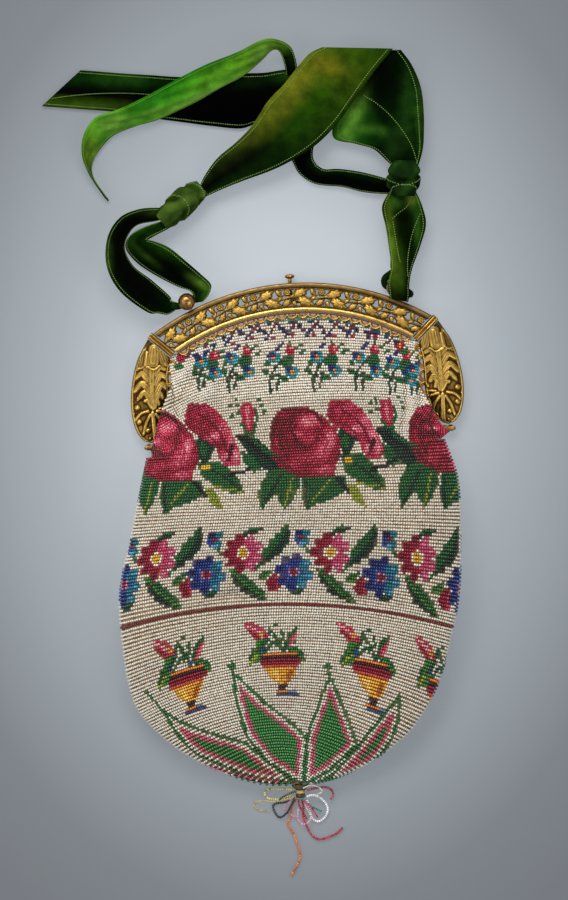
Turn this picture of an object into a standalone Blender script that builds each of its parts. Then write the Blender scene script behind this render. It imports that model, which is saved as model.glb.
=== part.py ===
"""A knitted bead bag on a hinged gilt-brass frame, with a knotted velvet ribbon for a handle.

The bag lies on its back. +Z is up, +Y runs from the bag towards the handle, and the origin lies on
the surface under the middle of the hinge line. Lengths are in metres. Tables of pixels are places in
the reference picture, and each is drawn to the named sizes through a map of its own.
"""

import math

import bmesh
import bpy
from mathutils import Matrix, Vector

MM = 0.001
CLEARANCE = 0.3 * MM

# Frame, closed, seen from the front
FRAME_WIDTH = 180.4 * MM
ARCH_SPAN = 154.4 * MM
SHOULDER_HEIGHT = 60.2 * MM
ARCH_TOP = 83.9 * MM
RIM_WIDTH = 2.7 * MM
GALLERY_WIDTH = 10.4 * MM
BAR_WIDTH = 2.6 * MM
HALF_DEPTH = 5.2 * MM
FRAME_TILT = math.radians(3.7)

# Frame, through its thickness, measured from the plane where the halves meet
RIM_DEPTH = 4.6 * MM
BAR_DEPTH = 2.6 * MM
GALLERY_FACE = 4.2 * MM
GALLERY_THICKNESS = 1.1 * MM
GALLERY_RELIEF = 0.7 * MM
EDGE_ROUND = 0.5 * MM
ARCH_STEPS = 18

# Vine of the pierced gallery strip
VINE_REPEATS = 8
GALLERY_RAIL = 0.8 * MM
STEM_WIDTH = 1.1 * MM
LEAF_LENGTH = 10.2 * MM
LEAF_BREADTH = 5.0 * MM
ROSETTE_RADIUS = 2.4 * MM
FLOWER_RADIUS = 2.0 * MM

# Scalloped edge that the bag is sewn to
SCALLOP_PITCH = 5.7 * MM
SCALLOP_DROP = 3.2 * MM
SCALLOP_HOLE = 0.75 * MM
SCALLOP_THICKNESS = 0.9 * MM
SCALLOP_LEVEL = 1.2 * MM
SCALLOP_SPINE = 0.9 * MM

# Acanthus end plates and the ridged collars above them
PLATE_WIDTH = 20.9 * MM
PLATE_BOTTOM = 2.3 * MM
PLATE_EDGE = 1.3 * MM
PLATE_RELIEF = 0.55 * MM
PLATE_WALL = 1.2 * MM
PLATE_RIM = 1.5 * MM
FLANGE_RADIUS = 3.7 * MM
FLANGE_PITCH = 8.3 * MM
FLANGE_COUNT = 3
COLLAR_RIDGE = 1.9 * MM
COLLAR_DEPTH = 5.0 * MM

# Hinges
HINGE_SPAN = 160.4 * MM
KNUCKLE_RADIUS = 1.6 * MM
KNUCKLE_LENGTH = 2.9 * MM
PIN_RADIUS = 0.75 * MM
PIN_CLEARANCE = 0.05 * MM
PIN_HEAD_RADIUS = 1.1 * MM
PIN_HEAD_LENGTH = 0.9 * MM
LUG_THICKNESS = 1.0 * MM

# Catch at the top of the arch
BUTTON_RADIUS = 2.75 * MM
BUTTON_HEAD = 2.0 * MM
BUTTON_STAND = 2.9 * MM
BUTTON_TRAVEL = 1.8 * MM
STEM_RADIUS = 0.95 * MM
SHANK_RADIUS = 0.6 * MM
STEM_LEVEL = 1.55 * MM
STOP_RADIUS = 1.2 * MM
STOP_LENGTH = 0.7 * MM
SPRING_LENGTH = 3.0 * MM
SPRING_RADIUS = 1.05 * MM
SPRING_WIRE = 0.2 * MM
SPRING_TURNS = 4
GUIDE_WIDTH = 5.2 * MM
GUIDE_HEIGHT = 2.2 * MM
GUIDE_DEPTH = 2.4 * MM
HOOK_WIDTH = 1.8 * MM
HOOK_HEIGHT = 4.0 * MM
HOOK_REACH = 2.2 * MM

# Ball-headed ribbon eyes
BALL_RADIUS = 4.7 * MM
EYE_INNER = 2.6 * MM
EYE_WIRE = 0.6 * MM
EYE_ANGLE = math.radians(23.3)

# Bag
BAG_WIDTH = 184.8 * MM
BAG_DROP = 189.6 * MM
BAG_THICKNESS = 35.0 * MM
BEAD_WALL = 1.6 * MM
LINING_WALL = 0.5 * MM
SEAM_DROP = 6.0 * MM
REST_FLAT = 1.0 * MM
GATHER_RADIUS = 3.2 * MM

# Ribbon and tassel
HANDLE_HEIGHT = 137.7 * MM
RIBBON_WIDTH = 32.0 * MM
RIBBON_THICKNESS = 1.3 * MM
KNOT_RADIUS = 7.6 * MM
RIGHT_KNOT_RADIUS = 9.2 * MM
LINK_RADIUS = 2.0 * MM
STRAND_RADIUS = 0.75 * MM
FINE_STRAND_RADIUS = 0.6 * MM
THREAD_RADIUS = 0.35 * MM

OVERRUN = 2.0 * MM

ARCH_RISE = ARCH_TOP - SHOULDER_HEIGHT
ARCH_RADIUS = ((ARCH_SPAN / 2) ** 2 + ARCH_RISE**2) / (2 * ARCH_RISE)
ARCH_CENTRE = ARCH_TOP - ARCH_RADIUS
ARCH_ANGLE = math.asin(ARCH_SPAN / 2 / ARCH_RADIUS)
GALLERY_TOP = ARCH_RADIUS - RIM_WIDTH
BAR_TOP = GALLERY_TOP - GALLERY_WIDTH
BAR_LOW = BAR_TOP - BAR_WIDTH
COLLAR_ANGLE_SHARE = 0.955
SCALLOP_LOW = BAR_LOW - SCALLOP_DROP
MATING_GAP = CLEARANCE / 2
GALLERY_BACK = GALLERY_FACE - GALLERY_THICKNESS
KNUCKLE_BORE = PIN_RADIUS + PIN_CLEARANCE

for old in list(bpy.data.objects):
    bpy.data.objects.remove(old, do_unlink=True)


def material(name, colour, roughness, metallic):
    """A Principled surface of one colour."""
    made = bpy.data.materials.new(name)
    made.use_nodes = True
    shader = made.node_tree.nodes["Principled BSDF"]
    shader.inputs["Base Color"].default_value = (*colour, 1.0)
    shader.inputs["Roughness"].default_value = roughness
    shader.inputs["Metallic"].default_value = metallic
    return made


GILT = material("gilt_brass", (0.78, 0.53, 0.17), 0.35, 1.0)
DULL_GILT = material("dull_gilt", (0.42, 0.29, 0.13), 0.45, 1.0)
STEEL = material("spring_steel", (0.45, 0.44, 0.42), 0.35, 1.0)
IVORY_BEADS = material("ivory_beads", (0.80, 0.77, 0.70), 0.35, 0.0)
SILK = material("green_silk", (0.05, 0.16, 0.10), 0.6, 0.0)
VELVET = material("green_velvet", (0.07, 0.20, 0.02), 0.9, 0.0)
COTTON = material("tied_thread", (0.55, 0.45, 0.28), 0.8, 0.0)
ORANGE_BEADS = material("orange_beads", (0.80, 0.33, 0.04), 0.4, 0.0)
RED_BEADS = material("red_beads", (0.62, 0.04, 0.08), 0.4, 0.0)
WHITE_BEADS = material("white_beads", (0.85, 0.84, 0.80), 0.35, 0.0)
PINK_BEADS = material("pink_beads", (0.85, 0.55, 0.58), 0.35, 0.0)
BLACK_BEADS = material("black_beads", (0.03, 0.03, 0.03), 0.3, 0.0)
YELLOW_BEADS = material("yellow_beads", (0.72, 0.68, 0.14), 0.4, 0.0)
RUST_BEADS = material("rust_beads", (0.30, 0.10, 0.06), 0.4, 0.0)
GOLD_THREAD = material("gold_thread", (0.62, 0.50, 0.22), 0.5, 0.0)


def anchor(name, parent=None):
    """An empty that carries pieces."""
    empty = bpy.data.objects.new(name, None)
    bpy.context.scene.collection.objects.link(empty)
    empty.parent = parent
    return empty


def place(name, mesh, surface, parent=None):
    """An object of this mesh and material, in the scene."""
    mesh.materials.clear()
    mesh.materials.append(surface)
    obj = bpy.data.objects.new(name, mesh)
    bpy.context.scene.collection.objects.link(obj)
    obj.parent = parent
    return obj


def mesh_of(points, faces):
    """A mesh with its faces turned outwards."""
    bm = bmesh.new()
    corners = [bm.verts.new(point) for point in points]
    for face in faces:
        bm.faces.new([corners[i] for i in face])
    bmesh.ops.recalc_face_normals(bm, faces=bm.faces)
    mesh = bpy.data.meshes.new("shape")
    bm.to_mesh(mesh)
    bm.free()
    return mesh


def lofted(rings):
    """A closed mesh through rings of equal point counts, with a flat cap at each end."""
    count = len(rings[0])
    points = [point for ring in rings for point in ring]
    faces = [list(range(count)), list(range((len(rings) - 1) * count, len(rings) * count))]
    for i in range(len(rings) - 1):
        for j in range(count):
            k = (j + 1) % count
            faces.append([i * count + j, i * count + k, (i + 1) * count + k, (i + 1) * count + j])
    return mesh_of(points, faces)


def prism(outline, low, high):
    """A flat outline given a thickness along Z."""
    return lofted([[(x, y, z) for x, y in outline] for z in (low, high)])


def block(low, high):
    """A rectangular block between two corners."""
    outline = [(low[0], low[1]), (high[0], low[1]), (high[0], high[1]), (low[0], high[1])]
    return prism(outline, low[2], high[2])


def turned(profile, axis, centre, sides=16):
    """A shape turned round an axis through a point; the profile is (place along it, radius)."""
    axis = Vector(axis).normalized()
    across = axis.orthogonal().normalized()
    other = axis.cross(across)
    rings = []
    for along, radius in profile:
        ring = []
        for j in range(sides):
            turn = 2 * math.pi * j / sides
            spoke = across * math.cos(turn) + other * math.sin(turn)
            ring.append(tuple(Vector(centre) + axis * along + spoke * radius))
        rings.append(ring)
    return lofted(rings)


def combined(first, others, operation):
    """The mesh left by a Boolean of one mesh with several others."""
    base = bpy.data.objects.new("base", first)
    bpy.context.scene.collection.objects.link(base)
    helpers = bpy.data.collections.new("helpers")
    bpy.context.scene.collection.children.link(helpers)
    for mesh in others:
        helpers.objects.link(bpy.data.objects.new("helper", mesh))
    cut = base.modifiers.new("combine", "BOOLEAN")
    cut.solver = "EXACT"
    cut.operation = operation
    cut.operand_type = "COLLECTION"
    cut.collection = helpers
    bpy.context.view_layer.update()
    graph = bpy.context.evaluated_depsgraph_get()
    made = bpy.data.meshes.new_from_object(base.evaluated_get(graph))
    for helper in [base, *helpers.objects]:
        bpy.data.objects.remove(helper, do_unlink=True)
    bpy.data.collections.remove(helpers)
    return made


def fused(meshes):
    return combined(meshes[0], meshes[1:], "UNION")


def pierced(mesh, cutters):
    return combined(mesh, cutters, "DIFFERENCE")


def smooth_path(points, steps):
    """Points on a smooth curve through the given ones."""
    points = [Vector(point) for point in points]
    made = []
    for i in range(len(points) - 1):
        before = points[max(i - 1, 0)]
        start, end = points[i], points[i + 1]
        after = points[min(i + 2, len(points) - 1)]
        for k in range(steps):
            t = k / steps
            made.append(
                (
                    2 * start
                    + (end - before) * t
                    + (2 * before - 5 * start + 4 * end - after) * t**2
                    + (3 * start - before - 3 * end + after) * t**3
                )
                / 2
            )
    return [*made, points[-1]]


def between(low, high, share):
    return low + (high - low) * share


# Frame: everything below is drawn with the hinge line as X, the arch along +Y and the plane where
# the halves meet at Z = 0. The rear half is the front one turned half round about Y.

frame_axes = anchor("frame_axes")
frame_axes.location = (0, 0, HALF_DEPTH)
frame_axes.rotation_euler = (0, 0, FRAME_TILT)
front_axis = anchor("front_hinge_axis", frame_axes)
rear_turn = anchor("rear_half_turn", frame_axes)
rear_turn.rotation_euler = (0, math.pi, 0)


def on_arch(angle, radius):
    """A point of the arch, by its angle from the top."""
    return Vector((radius * math.sin(angle), ARCH_CENTRE + radius * math.cos(angle)))


def arch_strip(section, gap):
    """A strip bent along the arch; the section is (radius, level), the gap is left at both collars."""
    rings = []
    for i in range(ARCH_STEPS + 1):
        ring = []
        for radius, level in section:
            angle = between(-1, 1, i / ARCH_STEPS) * end_angle(radius, gap)
            ring.append((*on_arch(angle, radius), level))
        rings.append(ring)
    return lofted(rings)


def arch_bar(inner, outer, low, high):
    """A bar bent along the arch, with its front edges eased."""
    section = [
        (inner, low),
        (outer, low),
        (outer, high - EDGE_ROUND),
        (outer - EDGE_ROUND, high),
        (inner + EDGE_ROUND, high),
        (inner, high - EDGE_ROUND),
    ]
    return arch_strip(section, CLEARANCE)


def arch_frame(angle):
    """The directions along the arch and away from its centre."""
    return Vector((math.cos(angle), -math.sin(angle))), Vector((math.sin(angle), math.cos(angle)))


SHOULDER = on_arch(ARCH_ANGLE, ARCH_RADIUS)
COLLAR_ANGLE = ARCH_ANGLE * COLLAR_ANGLE_SHARE
COLLAR_INNER = on_arch(COLLAR_ANGLE, (BAR_TOP + BAR_LOW) / 2)
COLLAR_LINE = (COLLAR_INNER - SHOULDER).normalized()
COLLAR_DOWN = Vector((-COLLAR_LINE.y, COLLAR_LINE.x))

COLLAR_SLANT = abs(COLLAR_LINE.dot(SHOULDER - Vector((0, ARCH_CENTRE)))) / ARCH_RADIUS
COLLAR_RUN = ARCH_RADIUS - (BAR_TOP + BAR_LOW) / 2


def end_angle(radius, gap):
    """The angle from the top of the arch at which a piece of it stops short of the collar."""
    share = (ARCH_RADIUS - radius) / COLLAR_RUN
    return between(ARCH_ANGLE, COLLAR_ANGLE, share) - (COLLAR_RIDGE + gap) / COLLAR_SLANT / radius


GALLERY_ANGLE = end_angle((BAR_TOP + GALLERY_TOP) / 2, CLEARANCE)

# One repeat of the vine: (share of the repeat, share of the strip's width, turn in degrees)
UPPER_LEAF_SHARES = (0.30, 0.70, 8)
LOWER_LEAF_SHARES = (0.80, 0.30, -8)
ROSETTE_SHARES = (0.70, 0.73, 0)
FLOWER_SHARES = (0.33, 0.25, 0)
LEAF_OUTLINE_SHARES = [
    (-0.5, 0.0),
    (-0.12, 0.5),
    (0.26, 0.36),
    (0.5, 0.0),
    (0.16, -0.46),
    (-0.22, -0.42),
]
STEM_WAVE_SHARE = 0.09


def vine_place(repeat, shares):
    """Centre and directions of an ornament in one repeat of the vine."""
    along, across, turn = shares
    step = 2 * GALLERY_ANGLE / VINE_REPEATS
    angle = -GALLERY_ANGLE + step * (repeat + along)
    centre = on_arch(angle, between(BAR_TOP, GALLERY_TOP, across))
    tangent, outward = arch_frame(angle)
    turn = math.radians(turn)
    ahead = tangent * math.cos(turn) + outward * math.sin(turn)
    return centre, ahead, Vector((-ahead.y, ahead.x))


def raised_ornament(centre, ahead, side, outline, length, breadth):
    """A leaf or flower: a flat back, a low edge and a crown in the middle."""
    low = GALLERY_BACK
    edge = [centre + ahead * (x * length) + side * (y * breadth) for x, y in outline]
    count = len(edge)
    points = [(*point, low) for point in edge] + [(*point, GALLERY_FACE) for point in edge]
    points.append((*centre, GALLERY_FACE + GALLERY_RELIEF))
    faces = [list(range(count))]
    for j in range(count):
        k = (j + 1) % count
        faces.append([j, k, count + k, count + j])
        faces.append([count + j, count + k, 2 * count])
    return mesh_of(points, faces)


def round_outline(sides):
    return [
        (math.cos(2 * math.pi * j / sides) / 2, math.sin(2 * math.pi * j / sides) / 2)
        for j in range(sides)
    ]


def gallery_mesh():
    """The pierced strip: two rails, a waving stem, and leaves and two kinds of flower along it."""
    low = GALLERY_BACK
    inner, outer = BAR_TOP + CLEARANCE, GALLERY_TOP - CLEARANCE
    inset = GALLERY_RAIL / 8
    parts = []
    for start in (inner + inset, outer - inset - GALLERY_RAIL):
        end = start + GALLERY_RAIL
        section = [(start, low), (end, low), (end, GALLERY_FACE), (start, GALLERY_FACE)]
        parts.append(arch_strip(section, CLEARANCE + inset))
    rings = []
    steps = 4 * VINE_REPEATS
    for i in range(steps + 1):
        wave = GALLERY_WIDTH * STEM_WAVE_SHARE * math.sin(2 * math.pi * VINE_REPEATS * i / steps)
        middle = (BAR_TOP + GALLERY_TOP) / 2 + wave
        angle = between(-1, 1, i / steps) * end_angle(middle, CLEARANCE + 2 * inset)
        section = [
            (middle - STEM_WIDTH / 2, low),
            (middle + STEM_WIDTH / 2, low),
            (middle, GALLERY_FACE + GALLERY_RELIEF / 2),
        ]
        rings.append([(*on_arch(angle, radius), level) for radius, level in section])
    parts.append(lofted(rings))
    for side in (-1, 1):
        corners = []
        for radius, gap in (
            (inner + inset, inset),
            (outer - inset, inset),
            (outer - inset, inset + GALLERY_RAIL),
            (inner + inset, inset + GALLERY_RAIL),
        ):
            corners.append(on_arch(side * end_angle(radius, CLEARANCE + gap), radius))
        parts.append(prism(corners, low, GALLERY_FACE))
    ornaments = [
        (UPPER_LEAF_SHARES, LEAF_OUTLINE_SHARES, LEAF_LENGTH, LEAF_BREADTH),
        (LOWER_LEAF_SHARES, LEAF_OUTLINE_SHARES, LEAF_LENGTH, LEAF_BREADTH),
        (ROSETTE_SHARES, round_outline(6), 2 * ROSETTE_RADIUS, 2 * ROSETTE_RADIUS),
        (FLOWER_SHARES, round_outline(5), 2 * FLOWER_RADIUS, 2 * FLOWER_RADIUS),
    ]
    for repeat in range(VINE_REPEATS):
        for shares, outline, length, breadth in ornaments:
            centre, ahead, side = vine_place(repeat, shares)
            parts.append(raised_ornament(centre, ahead, side, outline, length, breadth))
    below, above = low - OVERRUN, GALLERY_FACE + GALLERY_RELIEF + OVERRUN
    strip = arch_strip([(inner, below), (outer, below), (outer, above), (inner, above)], CLEARANCE)
    return combined(fused(parts), [strip], "INTERSECT")


SCALLOP_LOBE_SHARES = [(-0.48, 0.0), (-0.27, 0.9), (0.27, 0.9), (0.48, 0.0)]
SCALLOP_HOLE_SHARE = 0.35


def scallop_mesh():
    """The sewing edge: a thin spine along the bar with a row of pierced half-round lobes."""
    radius = BAR_LOW - CLEARANCE
    half = end_angle(SCALLOP_LOW, CLEARANCE)
    count = max(3, round(2 * half * radius / SCALLOP_PITCH))
    step = 2 * half / count
    low = SCALLOP_LEVEL
    high = SCALLOP_LEVEL + SCALLOP_THICKNESS
    upper = [on_arch(-half + step * i, radius) for i in range(count + 1)]
    lower = []
    lobe_radius = radius - SCALLOP_SPINE
    drop = SCALLOP_DROP - SCALLOP_SPINE - CLEARANCE
    for i in range(count):
        middle = -half + step * (i + 0.5)
        for share, depth_share in SCALLOP_LOBE_SHARES:
            lower.append(on_arch(middle + step * share, lobe_radius - drop * depth_share))
    strip = prism([*upper, *reversed(lower)], low, high)
    holes = []
    for i in range(count):
        centre = on_arch(-half + step * (i + 0.5), lobe_radius - drop * SCALLOP_HOLE_SHARE)
        outline = [centre + Vector((x, y)) * (2 * SCALLOP_HOLE) for x, y in round_outline(4)]
        holes.append(prism(outline, low - OVERRUN, high + OVERRUN))
    return pierced(strip, holes)


# Edges of an end plate, from the collar down. Outer: shares of the way from the collar's outer corner
# to the frame's full width. Inner: shares of the plate's width, inwards from the outer edge. Both with
# shares of the height from the plate's foot up to their corner of the collar.
PLATE_OUTER_SHARES = [
    (0.0, 1.0),
    (0.243, 0.921),
    (0.559, 0.807),
    (0.808, 0.653),
    (0.96, 0.489),
    (1.0, 0.36),
    (0.949, 0.226),
    (0.797, 0.113),
    (0.514, 0.031),
    (0.175, 0.0),
]
PLATE_INNER_SHARES = [
    (0.54, 0.985),
    (0.656, 0.903),
    (0.784, 0.802),
    (0.905, 0.664),
    (0.989, 0.539),
    (1.0, 0.414),
    (0.931, 0.295),
    (0.759, 0.182),
    (0.484, 0.088),
    (0.158, 0.025),
]
FLANGE_SEAT_SHARE = 0.35
RIM_LIMIT_SHARE = 0.4
PLATE_ROWS = 12
PLATE_COLUMNS = 6
MIDRIB_END_SHARE = 0.66
LOBE_COUNT = 3


def plate_edge(shares, top, width, share_down):
    """A point on one edge of the plate below its top corner, by its share of the way down."""
    spot = min(share_down, 1.0) * (len(shares) - 1)
    i = min(int(spot), len(shares) - 2)
    across = between(shares[i][0], shares[i + 1][0], spot - i)
    height = between(shares[i][1], shares[i + 1][1], spot - i)
    return Vector((top.x + width * across, PLATE_BOTTOM + (top.y - PLATE_BOTTOM) * height))


def plate_edges(down):
    """The inner and the outer edge of the plate at one share of the way down."""
    drop = COLLAR_DOWN * (COLLAR_RIDGE + CLEARANCE)
    outer_top = SHOULDER + drop
    inner_top = COLLAR_INNER + drop
    outer = plate_edge(PLATE_OUTER_SHARES, outer_top, FRAME_WIDTH / 2 - outer_top.x, down)
    inner = plate_edge(PLATE_INNER_SHARES, Vector((outer.x, inner_top.y)), -PLATE_WIDTH, down)
    return inner, outer


def inner_edge_at(height):
    """Where the plate's inner edge passes a height."""
    edge = [plate_edges(i / PLATE_ROWS)[0] for i in range(PLATE_ROWS + 1)]
    for above, below in zip(edge, edge[1:]):
        if below.y <= height:
            return between(below.x, above.x, (height - below.y) / (above.y - below.y))
    return edge[-1].x


def plate_relief(down, across):
    """Height of the carving, 0 to 1: a ribbed leaf above and a fan of ribs below it."""
    reach = 1 - abs(across)
    if down < MIDRIB_END_SHARE:
        leaf = down / MIDRIB_END_SHARE
        midrib = max(0.0, 1 - abs(across) * 5)
        lobes = 0.5 + 0.5 * math.cos(2 * math.pi * (leaf * LOBE_COUNT + abs(across) * 1.4))
        outline = 1 if abs(across) < 0.86 - 0.5 * leaf**3 else 0.25
        return max(midrib, (0.35 + 0.5 * lobes) * outline * min(1, 2.5 * reach))
    fan = (down - MIDRIB_END_SHARE) / (1 - MIDRIB_END_SHARE)
    ribs = 0.5 + 0.5 * math.cos(3 * math.pi * across / (0.35 + 0.65 * (1 - fan)))
    return ribs * min(1, 2.5 * reach) * (1 - 0.4 * fan)


def plate_inset(edges, i, j):
    """A point of the plate's grid moved in by the rim's width from whichever edges it lies on."""
    inner, outer = edges[i]
    rim = min(RIM_LIMIT_SHARE, PLATE_RIM / (outer - inner).length)
    share = min(max(j / PLATE_COLUMNS, rim), 1 - rim)
    point = inner.lerp(outer, share)
    if 0 < i < PLATE_ROWS:
        return point
    next_inner, next_outer = edges[1 if i == 0 else PLATE_ROWS - 1]
    beyond = next_inner.lerp(next_outer, share)
    return point.lerp(beyond, min(RIM_LIMIT_SHARE * 2, PLATE_RIM / (beyond - point).length))


def plate_mesh(side):
    """One end plate, domed and carved in front and hollow behind, with its pierced flange."""
    crown = HALF_DEPTH - PLATE_RELIEF - PLATE_EDGE
    edges = [plate_edges(i / PLATE_ROWS) for i in range(PLATE_ROWS + 1)]
    columns = PLATE_COLUMNS + 1
    points = []
    for i, (inner, outer) in enumerate(edges):
        down = i / PLATE_ROWS
        for j in range(columns):
            point = inner.lerp(outer, j / PLATE_COLUMNS)
            across = 2 * j / PLATE_COLUMNS - 1
            dome = (1 - abs(across) ** 3) * (1 - 0.35 * down**4)
            level = PLATE_EDGE + crown * dome + PLATE_RELIEF * plate_relief(down, across)
            points.append((side * point.x, point.y, level))
    faces = []
    for i in range(PLATE_ROWS):
        for j in range(PLATE_COLUMNS):
            a = i * columns + j
            faces.append([a, a + 1, a + 1 + columns, a + columns])
    loop = [(0, j) for j in range(columns)] + [(i, PLATE_COLUMNS) for i in range(1, PLATE_ROWS + 1)]
    loop += [(PLATE_ROWS, j) for j in reversed(range(PLATE_COLUMNS))]
    loop += [(i, 0) for i in reversed(range(1, PLATE_ROWS))]
    back, lip, floor = [], [], []
    for i, j in loop:
        x, y, _ = points[i * columns + j]
        inset = plate_inset(edges, i, j)
        back.append((x, y, MATING_GAP))
        lip.append((side * inset.x, inset.y, MATING_GAP))
        floor.append((side * inset.x, inset.y, max(MATING_GAP * 2, PLATE_EDGE - PLATE_WALL / 2)))
    start = len(points)
    count = len(loop)
    points += back + lip + floor
    for n, (i, j) in enumerate(loop):
        m = (n + 1) % count
        k, l = loop[m]
        faces.append([i * columns + j, k * columns + l, start + m, start + n])
        faces.append([start + n, start + m, start + count + m, start + count + n])
        a = start + count
        faces.append([a + n, a + m, a + count + m, a + count + n])
    faces.append([start + 2 * count + n for n in range(count)])
    body = mesh_of(points, faces)
    lobes, holes = [], []
    low, high = SCALLOP_LEVEL, SCALLOP_LEVEL + SCALLOP_THICKNESS
    for i in range(FLANGE_COUNT):
        height = COLLAR_INNER.y - FLANGE_RADIUS - FLANGE_RADIUS - FLANGE_PITCH * i
        centre = inner_edge_at(height) + FLANGE_RADIUS * FLANGE_SEAT_SHARE
        outline = [
            (side * (centre - FLANGE_RADIUS * 2 * x), height + FLANGE_RADIUS * 2 * y)
            for x, y in round_outline(8)
        ]
        lobes.append(prism(outline, low, high))
        spot = side * (centre - FLANGE_RADIUS * (FLANGE_SEAT_SHARE * 2))
        hole = [
            (spot + SCALLOP_HOLE * 2 * x, height + SCALLOP_HOLE * 2 * y) for x, y in round_outline(4)
        ]
        holes.append(prism(hole, low - OVERRUN, high + OVERRUN))
    return pierced(fused([body, *lobes]), holes)


def collar_mesh(side):
    """The collar between arch and plate: two rounded ridges across the frame."""
    length = (COLLAR_INNER - SHOULDER).length
    start = SHOULDER - COLLAR_LINE * EDGE_ROUND
    end = start + COLLAR_LINE * (length + BAR_WIDTH / 2)
    profile_shares = [
        (0.0, 0.0),
        (0.0, 0.82),
        (0.15, 1.0),
        (0.36, 1.0),
        (0.5, 0.8),
        (0.64, 1.0),
        (0.85, 1.0),
        (1.0, 0.82),
        (1.0, 0.0),
    ]
    breadth = 2 * COLLAR_RIDGE
    rings = []
    for base, height in ((start, COLLAR_DEPTH), (start.lerp(end, 0.5), COLLAR_DEPTH), (end, BAR_DEPTH)):
        ring = []
        for across, level in profile_shares:
            point = base - COLLAR_DOWN * (breadth * (0.5 - across))
            ring.append((side * point.x, point.y, between(MATING_GAP, height, level)))
        rings.append(ring)
    return lofted(rings)


def knuckle_mesh(low, high):
    """A hinge knuckle with the lug that carries it up to its plate."""
    barrel = turned([(low, KNUCKLE_RADIUS), (high, KNUCKLE_RADIUS)], (1, 0, 0), (0, 0, 0), 12)
    inset = (high - low) / 6
    lug = block(
        (low + inset, KNUCKLE_RADIUS / 3, KNUCKLE_BORE + MATING_GAP),
        (high - inset, PLATE_BOTTOM - CLEARANCE, KNUCKLE_BORE + MATING_GAP + LUG_THICKNESS / 2),
    )
    bore = turned(
        [(low - OVERRUN, KNUCKLE_BORE), (high + OVERRUN, KNUCKLE_BORE)], (1, 0, 0), (0, 0, 0), 12
    )
    return pierced(fused([barrel, lug]), [bore])


HINGE_X = HINGE_SPAN / 2
KNUCKLES = {
    "right": (HINGE_X - KNUCKLE_LENGTH - MATING_GAP, HINGE_X - MATING_GAP),
    "left": (-HINGE_X - MATING_GAP - KNUCKLE_LENGTH, -HINGE_X - MATING_GAP),
}
OTHER_SIDE = {"left": "right", "right": "left"}


def frame_halves():
    """The rigid pieces that both halves of the frame have, front and rear."""
    rim = arch_bar(GALLERY_TOP, ARCH_RADIUS, MATING_GAP, RIM_DEPTH)
    bar = arch_bar(BAR_LOW, BAR_TOP, GALLERY_FACE - BAR_DEPTH, GALLERY_FACE)
    gallery = gallery_mesh()
    scallops = scallop_mesh()
    place("front_rim", rim, GILT, front_axis)
    stem_hole = turned(
        [
            (-OVERRUN, STEM_RADIUS + CLEARANCE / 2),
            (RIM_WIDTH + OVERRUN, STEM_RADIUS + CLEARANCE / 2),
        ],
        (0, 1, 0),
        (0, ARCH_TOP - RIM_WIDTH, STEM_LEVEL),
        12,
    )
    place("rear_rim", pierced(rim.copy(), [stem_hole]), GILT, rear_turn)
    for half, parent in (("front", front_axis), ("rear", rear_turn)):
        place(f"{half}_inner_bar", bar, GILT, parent)
        place(f"{half}_gallery", gallery, GILT, parent)
        place(f"{half}_scallops", scallops, GILT, parent)
    for name, side in (("right", 1), ("left", -1)):
        plate = plate_mesh(side)
        collar = collar_mesh(side)
        knuckle = knuckle_mesh(*KNUCKLES[name])
        for half, parent, seen in (("front", front_axis, name), ("rear", rear_turn, OTHER_SIDE[name])):
            place(f"{half}_end_plate_{seen}", plate, GILT, parent)
            place(f"{half}_collar_{seen}", collar, GILT, parent)
            place(f"{half}_knuckle_{seen}", knuckle, DULL_GILT, parent)


def hinge_pins():
    """A headed pin through each hinge."""
    for name, side in (("right", 1), ("left", -1)):
        low = KNUCKLE_LENGTH + MATING_GAP + CLEARANCE
        profile = [
            (-low - PIN_HEAD_LENGTH, PIN_HEAD_RADIUS / 2),
            (-low - PIN_HEAD_LENGTH / 2, PIN_HEAD_RADIUS),
            (-low, PIN_HEAD_RADIUS),
            (-low, PIN_RADIUS),
            (low, PIN_RADIUS),
            (low, PIN_HEAD_RADIUS),
            (low + PIN_HEAD_LENGTH / 2, PIN_HEAD_RADIUS),
            (low + PIN_HEAD_LENGTH, PIN_HEAD_RADIUS / 2),
        ]
        pin = turned(profile, (1, 0, 0), (side * HINGE_X, 0, 0), 12)
        place(f"hinge_pin_{name}", pin, DULL_GILT, frame_axes)


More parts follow.
